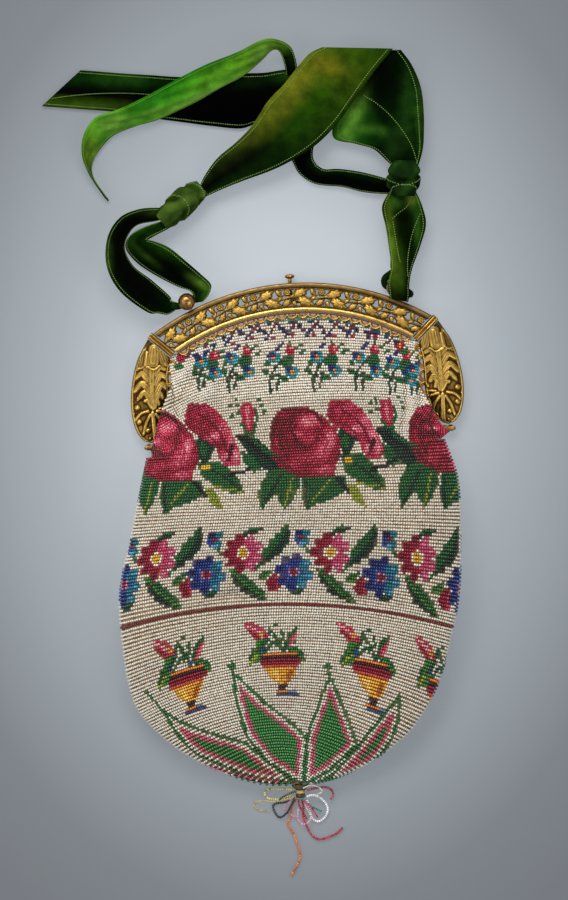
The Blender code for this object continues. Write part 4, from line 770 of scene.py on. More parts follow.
def sprig(p, x, y, size=1.0):
    """A small sprig with a bud and blue flowers, its foot at x, y."""

    def at(dx, dy):
        return x + dx * size, y + dy * size

    p.line([at(0, 0), at(-1, -13), at(4, -24), at(12, -32)], 2.9, STALK)
    p.line([at(-1, -13), at(8, -18)], 2.7, STALK)
    p.line([at(6, -2), at(7, -12)], 2.5, STALK)
    for dx, dy, wide, tall, turn in (
        (12, -14, 6.0, 2.8, 20), (-5, -20, 4.4, 3.0, 40), (17, -31, 6.2, 7.4, 30), (-4, -28, 2.6, 3.0, 0),
        (31, -40, 4.0, 1.8, -25),
    ):
        p.blob(*at(dx, dy), wide, tall, BUD_GREEN, turn)
    for dx, dy in ((3, -34), (21, -20)):
        px, py = at(dx, dy)
        p.blob(px, py, 6.6, 5.8, (4, 120, 138))
        p.blob(px - 3, py - 3, 3.8, 3.2, (12, 28, 96))
        p.blob(px + 3.4, py + 2.4, 3.0, 2.4, (60, 160, 176))
        p.blob(px, py + 0.4, 2.2, 2.0, (226, 120, 24))
    px, py = at(19, -42)
    p.blob(px, py, 4.6, 5.4, (158, 16, 44))
    p.blob(px + 1.4, py - 1.6, 2.4, 2.6, (220, 116, 128))
    p.line([at(19, -46), at(18, -51)], 2.4, BUD_GREEN)
    p.line([at(24, -44), at(30, -48)], 2.4, BUD_GREEN)
    p.line([at(6, -43), at(11, -48)], 3.4, (10, 30, 100))


def sprigs(p):
    """The row of sprigs under the frame, in picture places."""
    for x, y, size in (
        (199, 389, 0.8), (229, 391, 0.96), (271, 392, 1.0), (314, 391, 1.0), (356, 391, 1.0), (390, 393, 0.9),
        (412, 394, 0.7),
    ):
        sprig(p, x, y, size)
    p.blob(180, 358, 4.2, 5.0, (150, 20, 50))
    p.blob(178, 366, 5.0, 3.6, (26, 96, 44))
    p.blob(399.5, 345, 5.4, 5.0, (150, 16, 44))
    p.blob(399.5, 345, 2.0, 2.0, (220, 150, 40))
    p.blob(404, 352, 4.6, 2.8, (26, 96, 44))
    p.blob(411.5, 382, 4.6, 4.6, (14, 116, 140))
    p.blob(411.5, 382, 1.7, 1.7, (224, 110, 30))


def rose(p):
    """The large shaded rose with its leaves and its side bloom; the main one is at 305 across."""
    outline = [
        (286, 408), (307, 407), (316, 412), (322, 416), (327, 421), (331, 426), (336, 430), (338, 437), (341, 448),
        (340, 457), (335, 470), (335, 478), (303, 478), (292, 472), (284, 469), (278, 465), (274, 458), (271, 450),
        (270, 440), (270, 430), (272, 421), (276, 414), (281, 409),
    ]
    leaf_left = [(236, 432), (245, 431), (258, 437), (272, 450), (286, 470), (278, 476), (262, 466), (248, 450)]
    p.poly(leaf_left, DARK_LEAF)
    p.line([(238, 433), (252, 442), (270, 458), (284, 472)], 3.5, NEAR_BLACK)
    p.poly([(240, 447), (252, 452), (262, 466), (254, 470), (244, 460)], LEAF)
    p.poly(
        [
            (278, 466), (300, 476), (300, 486), (292, 500), (285, 509), (276, 494), (270, 498), (262, 509), (258, 494),
            (262, 480), (268, 470),
        ],
        LEAF,
    )
    p.line([(280, 474), (272, 490), (264, 505)], 2.6, DARK_LEAF)
    p.line([(292, 478), (288, 494), (284, 506)], 2.6, LIME)
    p.poly([(303, 478), (345, 478), (345, 492), (330, 500), (316, 504), (306, 510), (301, 494)], LEAF)
    p.line([(330, 480), (322, 490), (312, 500)], 2.8, LIME)
    p.line([(306, 480), (306, 508)], 2.6, DARK_LEAF)
    p.line([(337, 478), (348, 492)], 4.0, NEAR_BLACK)
    p.poly([(347, 486), (358, 487), (366, 508), (354, 502)], LIME)
    p.poly([(339, 455), (360, 455), (372, 466), (383, 480), (387, 492), (372, 490), (356, 482), (344, 472)], LEAF)
    p.line([(344, 460), (362, 470), (382, 487)], 2.8, DARK_LEAF)
    p.blob(348, 462, 5, 2.6, YELLOW)
    p.line([(358, 484), (383, 489)], 3.0, LIME)
    p.poly([(340, 428), (350, 433), (358, 441), (352, 452), (345, 460), (338, 446)], DARK_LEAF)
    p.poly([(343, 436), (350, 440), (347, 452), (341, 446)], LEAF)
    p.line([(372, 471), (384, 470), (396, 463)], 3.4, NEAR_BLACK)
    p.graded(
        outline,
        [
            (306, 422, 8, 7, 0.6), (316, 420, 5, 9, 0.3), (330, 440, 6, 10, 0.6), (322, 452, 8, 9, 0.42),
            (296, 434, 8, 3, 0.5), (310, 440, 9, 5, 0.3), (304, 458, 14, 5, 0.22), (324, 470, 11, 5, 0.42),
            (292, 466, 8, 4, 0.25), (283, 414, 7, 3, 0.3), (277, 440, 2.5, 10, 0.2),
        ],
        0.16,
    )
    for line, width, tint in (
        ([(299, 412), (304, 410), (316, 414), (322, 424)], 2.6, DEEP_RED),
        ([(292, 418), (290, 428), (298, 442), (304, 446)], 3.0, DEEP_RED),
        ([(282, 426), (280, 444), (288, 458)], 3.0, (96, 2, 24)),
        ([(318, 428), (318, 440), (310, 448), (300, 450)], 2.6, (110, 4, 30)),
        ([(334, 428), (338, 442), (336, 456)], 2.4, (150, 20, 50)),
        ([(330, 462), (318, 466), (304, 464)], 2.4, (120, 6, 34)),
        ([(276, 452), (284, 464), (296, 472)], 2.6, (96, 2, 24)),
        ([(324, 430), (327, 444), (322, 458)], 2.2, (170, 40, 70)),
    ):
        p.line(line, width, tint)
    side = [
        (330, 402), (336, 401), (350, 402), (362, 411), (371, 424), (379, 440), (383, 455), (382, 461), (366, 461),
        (360, 450), (357, 441), (346, 434), (333, 426), (326, 418), (328, 408),
    ]
    p.graded(
        side,
        [
            (352, 408, 9, 4, 0.2), (364, 422, 6, 7, 0.35), (373, 436, 5, 9, 0.5), (378, 452, 4, 8, 0.5),
            (340, 412, 6, 3, 0.15), (356, 432, 7, 5, 0.45), (367, 452, 4, 7, 0.4),
        ],
        0.28,
    )
    for line, width, tint in (
        ([(330, 420), (333, 408), (342, 404)], 4.2, (130, 6, 36)),
        ([(342, 412), (354, 419), (364, 431), (369, 446)], 2.8, (110, 4, 30)),
        ([(336, 422), (348, 428), (358, 438)], 2.6, (130, 10, 40)), ([(374, 442), (370, 456)], 4.0, (60, 0, 18)),
        ([(352, 406), (366, 418)], 2.4, (160, 30, 60)),
    ):
        p.line(line, width, tint)
    p.line([(252, 430), (256, 440), (266, 448), (278, 454)], 3.0, LEAF)
    p.poly([(241, 402), (251, 400), (255, 415), (253, 430), (246, 430), (241, 414)], (166, 34, 64))
    p.line([(247, 406), (249, 424)], 3.4, (210, 110, 124))
    p.line([(255, 408), (257, 418), (253, 430)], 3.2, LEAF)
    p.line([(242, 422), (248, 432), (254, 432)], 3.0, LEAF)
    for x, y in [(236, 398), (237.5, 404), (238.5, 411), (231, 404), (232, 414), (259, 398), (262, 404), (264, 411)]:
        p.blob(x, y, 2.0, 2.0, LEAF)


def garland(p):
    """Daisies and blue flowers between leaves; a repeat is 87 wide."""
    p.leaf([(287, 526), (281, 540), (270, 552), (262, 562)], 19, DARK_LEAF, LEAF, None, 4)
    p.line([(262, 560), (256, 568)], 2.6, LEAF)
    p.leaf([(232, 568), (241, 578), (252, 588), (266, 597)], 17, LEAF, DARK_LEAF, FERN, 4)
    p.leaf([(244, 533), (253, 529), (262, 527)], 8, LEAF, DARK_LEAF, None, 3)
    p.leaf([(259, 578), (266, 573), (272, 569)], 9, LEAF, FERN, None, 2)
    p.poly([(269, 575), (277, 573), (281, 580), (279, 590), (270, 591), (266, 583)], CRIMSON)
    p.line([(277, 577), (277, 588)], 3.2, ROSE)
    p.leaf([(292, 592), (298, 590), (306, 586)], 7, LEAF, DARK_LEAF, None, 2)
    p.line([(305, 544), (308, 551)], 2.8, LEAF)
    daisy(p, 243, 551)
    blue_flower(p, 294, 571)
    x, y = 302.0, 536.0
    for dx, dy, size, tint in (
        (-3, -4, 4.6, NAVY), (4, -4, 4.2, TEAL), (-4, 3, 4.4, ROYAL), (4, 4, 4.2, TEAL), (0, 7, 3.4, SKY),
    ):
        p.blob(x + dx, y + dy, size, size * 0.9, tint)
    p.blob(x, y, 2.4, 2.2, CRIMSON)


def petals(p, x, y, count, far, long, wide, left, right, turn=0.0):
    for k in range(count):
        angle = math.radians(turn + 360 * k / count)
        tint = left if math.cos(angle) < 0.2 else right
        p.blob(x + far * math.cos(angle), y + far * math.sin(angle), long, wide, tint, math.degrees(angle))


def daisy(p, x, y):
    petals(p, x, y, 9, 12.5, 8.2, 4.7, (140, 6, 44), (186, 62, 104), 20)
    petals(p, x, y, 9, 15.5, 3.2, 2.0, (104, 0, 30), (204, 116, 146), 20)
    p.blob(x, y, 6.8, 6.2, (222, 214, 196))
    p.blob(x, y, 4.2, 4.2, (206, 160, 20))


def blue_flower(p, x, y):
    petals(p, x, y, 8, 11.8, 8.0, 5.2, (20, 44, 120), (22, 104, 134), 10)
    petals(p, x, y, 8, 15.0, 3.0, 2.4, (10, 20, 74), (70, 146, 172), 10)
    petals(p, x, y, 5, 7.0, 2.2, 2.0, (60, 96, 160), (30, 60, 140), 0)
    p.blob(x, y, 5.2, 5.2, (190, 110, 150))
    p.blob(x, y, 3.4, 3.4, (110, 10, 40))


def urn(p):
    """A footed vase of flowers, its middle at 281 across."""
    p.leaf([(262, 640), (258, 650), (250, 660)], 16, FERN, LEAF, (150, 160, 40), 2)
    p.leaf([(268, 634), (262, 641), (256, 650)], 13, LEAF, FERN, None, 2)
    p.leaf([(288, 646), (297, 652), (304, 660)], 12, LEAF, DARK_LEAF, FERN, 2)
    p.line([(262, 646), (268, 652)], 2.8, ROYAL)
    p.line([(290, 640), (284, 650)], 2.8, ROYAL)
    for line in (
        [(266, 650), (272, 642), (280, 640)], [(283, 651), (280, 640), (272, 630)], [(280, 640), (274, 634)],
        [(276, 645), (284, 636)],
    ):
        p.line(line, 3.0, LEAF)
    for x, y in ((270, 628), (276, 624), (268, 633), (282, 631)):
        p.blob(x, y, 2.6, 1.9, LEAF)
    p.poly([(243, 618), (250, 619), (262, 625), (268, 633), (266, 638), (256, 637), (248, 629)], ROSE)
    p.line([(247, 622), (256, 627), (263, 634)], 3.0, PALE_PINK)
    p.line([(250, 629), (258, 635)], 2.8, CRIMSON)
    p.blob(262, 631, 2.6, 2.2, (214, 150, 70))
    p.leaf([(286, 648), (291, 637), (296, 627)], 11, LEAF, LEAF, None, 2)
    p.leaf([(289, 646), (293, 637), (297, 631)], 6.5, ROSE, PINK, None, 2)
    p.poly(
        [(264, 655), (296, 655), (297, 668), (294, 676), (288, 684), (279, 684), (271, 677), (265, 668)],
        (222, 158, 44),
    )
    p.poly([(269, 668), (278, 668), (281, 683), (275, 678)], (234, 190, 92))
    p.poly([(288, 668), (295, 667), (290, 680), (285, 683)], (166, 92, 26))
    p.line([(264, 652), (296, 652)], 3.2, (214, 120, 30))
    p.line([(263, 655.2), (297, 655.2)], 3.4, (40, 10, 16))
    p.line([(262, 660), (298, 660)], 5.4, (130, 10, 36))
    p.line([(263, 664.6), (296, 664.6)], 3.2, (190, 70, 60))
    p.line([(280, 685.5), (286, 685.5)], 4.4, (44, 24, 30))
    p.line([(278, 690), (290, 690)], 3.4, (196, 116, 30))
    p.line([(277, 693.6), (298, 693.6)], 3.0, (40, 56, 106))
    p.line([(290, 690), (295, 690)], 3.2, (110, 120, 140))


def rosette(p):
    """Long pointed leaves round the tied bottom: green, white and rose outlines, one in another."""
    a = ([(151, 694), (163, 708), (185, 722), (210, 731), (235, 738), (247, 742), (275, 766), (297, 784)],
         [(151, 694), (163, 712), (172, 728), (185, 745), (200, 758), (215, 764), (250, 779), (297, 786)])
    b = ([(233, 673), (233, 680), (235, 700), (241, 722), (247, 738), (268, 764), (300, 786)],
         [(233, 673), (238, 674), (250, 685), (265, 700), (285, 715), (300, 728), (308, 738), (304, 786)])
    c = ([(328, 671), (327, 678), (320, 695), (313, 715), (306, 735), (303, 786)],
         [(328, 671), (333, 678), (340, 695), (348, 715), (355, 735), (358, 745), (330, 772), (306, 786)])
    d = ([(399, 692), (397, 696), (385, 710), (370, 728), (358, 744), (330, 775), (308, 786)],
         [(400, 692), (401, 702), (399, 722), (393, 738), (385, 752), (372, 766), (340, 780), (308, 787)])
    for first, second in (a, d, b, c):
        outline = first + second[::-1][:-1]
        p.edged(outline, [(3.0, GREEN_EDGE), (6.4, IVORY), (10.0, ROSE_BAND), (99, (56, 128, 60))])
    p.tints[p.painted & (p.v % 5.82 < 2.4)] *= 0.86
    for x, y in ((232, 665.5), (328, 665.5)):
        p.poly([(x, y - 5), (x + 5, y), (x, y + 5), (x - 5, y)], DEEP_GREEN)
        p.line([(x, y), (x + 1, y + 10)], 2.8, DEEP_GREEN)
    p.line([(146, 690), (154, 699)], 3.0, GREEN_EDGE)
    p.line([(196, 767), (250, 782), (288, 787)], 3.0, GREEN_EDGE)
    p.line([(205, 766), (250, 778), (280, 783)], 2.6, ROSE_BAND)


def pattern(u, v, px, py, upper=False):
    """The colour of each bead: u and v follow the rows, px and py are its place in the picture."""
    p = Paint(u, v)
    p.repeat((-284, -142, 139, 278, 0), rose)
    p.repeat(range(-261, 262, 87), garland)
    p.line([(60, 604), (540, 604)], 3.4, MAROON)
    p.repeat((-280, -187, -94, 0, 92, 172, 258), urn)
    p.u, p.v = np.asarray(px, float), np.asarray(py, float)
    if upper:
        # Painted highlight: the ivory beads near the top of the panel are painted lighter.
        above = p.v < 397
        p.tints[above] = in_light((215, 209, 194))
        p.painted[above] = False
        sprigs(p)
        percent_marks(p)
    else:
        rosette(p)
    return p


def aged(p, seed):
    """Small unevenness of the glass from bead to bead, and old dirt on some of the ivory ones."""
    rng = np.random.default_rng(seed)
    count = len(p.u)
    tone = 1 + rng.normal(0, 0.055, count)
    tone *= 1 + 0.05 * np.sin(p.u / 23.0 + 1.3) * np.cos(p.v / 31.0)
    wear_and_sheen = (rng.random(count) < 0.05) & ~p.painted
    tints = p.tints * tone[:, None]
    tints[wear_and_sheen] = tints[wear_and_sheen] * 0.82 + in_light(TAN) * 0.18
    warm = np.clip(rng.normal(0, 0.02, count), -0.05, 0.05)
    tints *= np.column_stack([1 + warm, np.ones(count), 1 - warm])
    return np.clip(tints, 0.002, 0.92)

# ---- the bead fabric

ROW_PITCH = 2.91
BEAD_PITCH = 1.3 * MM
BEAD_HALF = np.array([0.665, 0.70, 0.66]) * MM
BEAD_SINK = 0.65 * MM
BASE_SINK, LINING_SINK = 1.1 * MM, 2.1 * MM
BEAD_GLASS = glass("fabric_beads", 0.3)
BEAD_SHAPE = dome([(1.0, 0.0), (0.72, 0.72)], 6)


def to_picture(points):
    return AXIS_PX + points[:, 0] / PIXEL, HINGE_PX - points[:, 1] / PIXEL


def axis_arc(row):
    """How far along a row, from the left, the bag's middle lies."""
    return np.interp(0.0, row[:, 0], arcs_of(row))


SEAM = {}


def note_seam(side, row):
    """Keeps how far the pattern of the seam's row runs ahead of the picture, for the fabric above it."""
    px = AXIS_PX + row[:, 0] / PIXEL
    SEAM[side] = px, AXIS_PX + (arcs_of(row) - axis_arc(row)) / PIXEL - px


def upper_place(side, px, py):
    """The pattern place of the fabric above the seam, by its picture place."""
    v = py + (px - AXIS_PX) * math.tan(TILT) * np.clip((py - 380) / 70, 0, 1)
    ahead = np.clip(np.interp(px, *SEAM[side]), -14, 14)
    return px + ahead * np.clip(1 - (SEAM_CREST - v) / 60, 0, 1), v


def bead_set(name, lines, normals, starts, seed, upper=False):
    """Beads along the rows of a fabric; starts gives each row's pattern height and its own middle."""
    centres, frames, us, vs = [], [], [], []
    rng = np.random.default_rng(seed)
    count = None
    for line, normal, (crest, middle) in zip(lines, normals, starts):
        at = arcs_of(line)
        if count is None or not 1.2 * MM <= at[-1] / count <= 1.42 * MM:
            count = max(4, int(round(at[-1] / BEAD_PITCH)))
        goal = (np.arange(count) + 0.5) * at[-1] / count + rng.normal(0, 0.05 * MM, count)
        spot, out = picked(goal, at, line), unit(picked(goal, at, normal))
        ahead = unit(picked(goal + 0.6 * MM, at, line) - picked(goal - 0.6 * MM, at, line))
        across = unit(np.cross(out, ahead))
        wave = 0.10 * MM * np.sin(goal / 0.009 + crest * 0.37) + rng.normal(0, 0.05 * MM, count)
        sink = BEAD_SINK + rng.normal(0, 0.04 * MM, count)
        centres.append(spot + across * wave[:, None] - out * sink[:, None])
        frames.append(np.stack([ahead, across, out], axis=1))
        us.append(AXIS_PX + (goal - middle) / PIXEL)
        vs.append(np.full(count, crest))
    centres, frames, us, vs = (np.concatenate(rows) for rows in (centres, frames, us, vs))
    px, py = to_picture(centres)
    if upper:
        us, vs = upper_place("front" if "front" in name else "back", px, py)
    tints = aged(pattern(us, vs, px, py, upper), seed + 1)
    size = BEAD_HALF[None, :, None] * (1 + rng.normal(0, 0.045, (len(centres), 1, 1)))
    made = copies(name, *BEAD_SHAPE, centres, frames * size, tints, BEAD_GLASS)
    return made


def grid_normals(grid, outward):
    """Normals of a grid of points; outward is a point that they turn away from."""
    along = np.gradient(grid, axis=1)
    down = np.gradient(grid, axis=0)
    normals = unit(np.cross(along, down))
    away = ((grid - outward) * normals).sum(axis=2).mean()
    return normals if away > 0 else -normals


# Folds of the fabric: (line in picture points, width in picture points, height in mm)
FOLDS = [
    ([(197, 408), (214, 380), (244, 350)], 7.5, 2.7), ([(172, 402), (192, 376), (212, 354)], 6.0, -3.0),
    ([(150, 412), (168, 390), (184, 370)], 6.5, 1.4), ([(405, 378), (406, 405), (399, 432)], 4.5, -2.4),
    ([(424, 382), (430, 402), (438, 416)], 6.5, 1.0), ([(388, 352), (402, 372), (418, 388)], 6.0, 0.8),
    ([(212, 598), (232, 594), (252, 589)], 5.0, -2.3), ([(214, 588), (234, 583), (256, 578)], 6.0, 0.9),
    ([(328, 593), (360, 598), (388, 598)], 5.0, -2.3), ([(326, 583), (358, 587), (390, 588)], 6.0, 0.8),
    ([(170, 470), (182, 530), (176, 590)], 12.0, 0.7), ([(424, 470), (428, 540), (420, 600)], 12.0, 0.6),
    ([(250, 400), (262, 430), (258, 470)], 9.0, -0.7), ([(340, 395), (352, 430), (350, 470)], 9.0, -0.5),
]


def folds(px, py):
    """Height of the fabric's folds in metres, at picture points."""
    lift = np.zeros(len(px))
    for line, width, height in FOLDS:
        near, step_at, _ = nearest(px, py, line)
        lift += height * np.exp(-((near / width) ** 2)) * (0.55 + 0.45 * np.sin(math.pi * step_at / 2))
    lift += 0.35 * np.sin(px / 19.0 + py / 41.0) * np.sin(py / 27.0 - px / 57.0 + 0.7)
    return lift * MM


def relief(grid, normals):
    """The fabric's folds laid over a grid of points, strongest where it faces the camera."""
    flat, out = grid.reshape(-1, 3), normals.reshape(-1, 3)
    lift = folds(*to_picture(flat)) * np.clip(out[:, 2], 0, 1)
    return (flat + out * lift[:, None]).reshape(grid.shape)


def closed_rows(side, crests, steps):
    """Rows of one side of the pouch, as a grid with its normals; the front has its folds."""
    first = 0.0 if side == "front" else math.pi
    turns = np.linspace(first, first + math.pi, steps)
    grid = np.array([section(crest, turns) for crest in crests])
    normals = grid_normals(grid, np.array([0.0, -0.08, 0.016]))
    return relief(grid, normals) if side == "front" else grid, normals


def sheet_of(name, grid, normals, sink, material):
    """A sheet of cloth under the beads, as a grid of points."""
    points = (grid - normals * sink).reshape(-1, 3)
    made = mesh_object(name, points, grid_faces(*grid.shape[:2]), material)
    return made


def paint_bead_reflection(obj, us, vs, points, upper=False):
    """Painted reflection and shade of the beads: the ground under coloured beads is painted in their colours."""
    px, py = to_picture(points)
    p = pattern(us, vs, px, py, upper)
    value = np.where(p.painted[:, None], np.clip(p.tints * 1.5 + 0.02, 0, 1), 1.0)
    painted_points(obj.data, value)


def knit(name, light, dark, reflecting=False):
    """The cotton ground between the beads, which can carry painted reflection and shade of their colours."""
    made = Surface(name, light, 0.85)
    ground = made.ramp(made.noise(420.0, 4.0), [(0.36, dark), (0.6, light)])
    if reflecting:
        # Painted reflection and shade of the beads, carried by each point's tint.
        ground = made.mix(1.0, ground, made.tint(), "MULTIPLY")
    made.base(ground)
    made.bump(made.noise(2400.0, 2.0), 0.4, 0.0003)
    return made.material


def silk():
    """The lining: a fine green weave."""
    made = Surface("green_silk_weave", colour(52, 92, 66), 0.42, Sheen_Weight=0.3, Sheen_Roughness=0.4)
    weave = made.noise(260.0, 3.0, (1, 6, 1))
    made.base(made.ramp(weave, [(0.32, colour(34, 66, 48)), (0.62, colour(70, 112, 78))]))
    made.bump(made.noise(3200.0, 1.0, (1, 4, 1)), 0.15, 0.0002)
    return made.material


BEAD_REFLECTING_GROUND = knit("ground_with_bead_reflection", colour(150, 124, 92), colour(92, 68, 46), reflecting=True)
SILK = silk()


def pouch():
    """The closed bag below the hinges, in rows round it: front and back, upper and lower part."""
    crests = np.arange(SEAM_CREST, 783.5, ROW_PITCH)
    half = len(crests) // 2
    for side, seed in (("front", 20), ("back", 21)):
        grid, normals = closed_rows(side, crests, 241)
        if side == "front":
            grid, normals = grid[:, ::-1], normals[:, ::-1]
        starts = [(crest, axis_arc(row)) for crest, row in zip(crests, grid)]
        note_seam(side, grid[0])
        for part, low, high in (("upper", 0, half), ("lower", half, len(crests))):
            made = bead_set(f"beads_{side}_{part}", grid[low:high], normals[low:high], starts[low:high], seed + low)
            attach(made, REAR)
    every = np.concatenate([crests, [785.5]])
    for side in ("front", "back"):
        grid, normals = closed_rows(side, every, 121)
        made = sheet_of(f"knit_{side}", grid, normals, BASE_SINK, BEAD_REFLECTING_GROUND)
        way = -1 if side == "front" else 1
        arcs = [(AXIS_PX + (arcs_of(row) - axis_arc(row)) / PIXEL)[::way] for row in grid[:, ::way]]
        paint_bead_reflection(made, np.concatenate(arcs), np.repeat(every, grid.shape[1]), grid.reshape(-1, 3))
        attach(made, REAR)
        lining = sheet_of(f"silk_{side}", grid[:-6], normals[:-6], LINING_SINK, SILK)
        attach(lining, REAR)


def panel_rows(grid, sign):
    """Even rows across a panel: the surface is found from above or from below, at each picture point."""
    tree = BVHTree.FromPolygons([tuple(p) for p in grid.reshape(-1, 3)], grid_faces(*grid.shape[:2]))
    lines, outs, labels = [], [], []
    px = np.arange(132, 470, 1.2)
    bow, ways = 15 * ((px - 300) / 110) ** 2, ((17, 150, 398), (9, 448, 392))
    crest = SEAM_CREST - ROW_PITCH
    while crest > 296:
        up = min(max((SEAM_CREST - crest) / 139.0, 0), 1.1)
        py = crest - (px - AXIS_PX) * math.tan(TILT) * (1 - 0.35 * up) + bow * up
        for deep, x, y in ways:
            py = py + deep * np.exp(-(((px - x) / 34) ** 2)) * np.exp(-(((crest - y) / 34) ** 2))
        hits = [tree.ray_cast(Vector((*place(x, y), 0.2 * sign)), Vector((0, 0, -sign)))[:2] for x, y in zip(px, py)]
        for found, run in itertools.groupby(hits, key=lambda hit: hit[0] is not None):
            run = list(run)
            if found and len(run) > 6:
                lines.append(np.array([hit for hit, _ in run]))
                outs.append(np.array([normal if normal.z * sign > 0 else -normal for _, normal in run]))
                labels.append((crest, 0.0))
        crest -= ROW_PITCH
    return lines, outs, labels


def panels():
    """The fabric above the hinge line: the front reaches up to the front half and stays in place, the back rides with
    the rear.
    """
    for side, sign, shares in (("front", 1, FRONT_EDGE_SHARES), ("back", -1, REAR_EDGE_SHARES)):
        grid = panel(shares, sign)
        normals = grid_normals(grid, np.array([0.0, 0.0, -0.5 * sign]))
        if sign > 0:
            grid = relief(grid, normals)
        pieces = [
            bead_set(f"beads_{side}_panel", *panel_rows(grid, sign), 60 + sign, upper=True),
            sheet_of(f"knit_{side}_panel", grid, normals, BASE_SINK, BEAD_REFLECTING_GROUND),
            sheet_of(f"silk_{side}_panel", grid[::2, ::2], normals[::2, ::2], LINING_SINK, SILK),
        ]
        flat = grid.reshape(-1, 3)
        paint_bead_reflection(pieces[1], *upper_place(side, *to_picture(flat)), flat, upper=True)
        for made in pieces:
            if sign > 0:
                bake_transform(made)
            else:
                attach(made, REAR)
    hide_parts("bag_front_panel")
    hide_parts("bag_lining_front")
    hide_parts("bag_body")
    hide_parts("bag_lining")


pouch()
panels()


TIED = knit("tied_ground", colour(84, 78, 50), colour(24, 26, 16))
# Rings of the gather: (mm towards the handle, half width in mm, height as a share of it)
GATHER_RINGS = [
    (0.6, 4.6, 0.9), (-0.6, 4.0, 0.95), (-1.8, 2.7, 0.9), (-2.8, 1.9, 0.85), (-3.6, 1.7, 0.85), (-4.6, 2.3, 0.9),
    (-5.6, 2.7, 0.9), (-6.4, 2.0, 0.8), (-6.7, 0.7, 0.6),
]


def gather():
    """The tied bottom: the fabric drawn up in pleats and bound with thread."""
    x, y, z = *place(*BAG_POLE), 3.2 * MM
    sides = 48
    points = []
    for along, wide, tall in GATHER_RINGS:
        for angle in circle(sides):
            reach = wide * MM * (1 + 0.09 * math.cos(12 * angle + along))
            level = z * 0.95 + reach * tall * math.sin(angle) * 0.95
            points.append((x + reach * math.cos(angle), y + along * MM, max(0.0001, level)))
    made = mesh_object("gather_pleats", points, grid_faces(len(GATHER_RINGS), sides, closed=True), TIED)
    dress(made, "tied_thread", REAR, "bag_gather")
    turn, share = 2 * math.pi * 5 * np.arange(241) / 240, np.arange(241) / 240
    turns = [x + 2.2 * MM * np.cos(turn), y - (2.5 + 1.6 * share) * MM, z + 1.95 * MM * np.sin(turn)]
    dress(thread_piece("gather_binding", np.column_stack(turns), 0.26 * MM, THREAD), "tied_thread", REAR)


gather()

# ---- the velvet ribbon: stations of each stretch are the picture places of its two edges, and their
# heights above the surface as shares of the ribbon's width

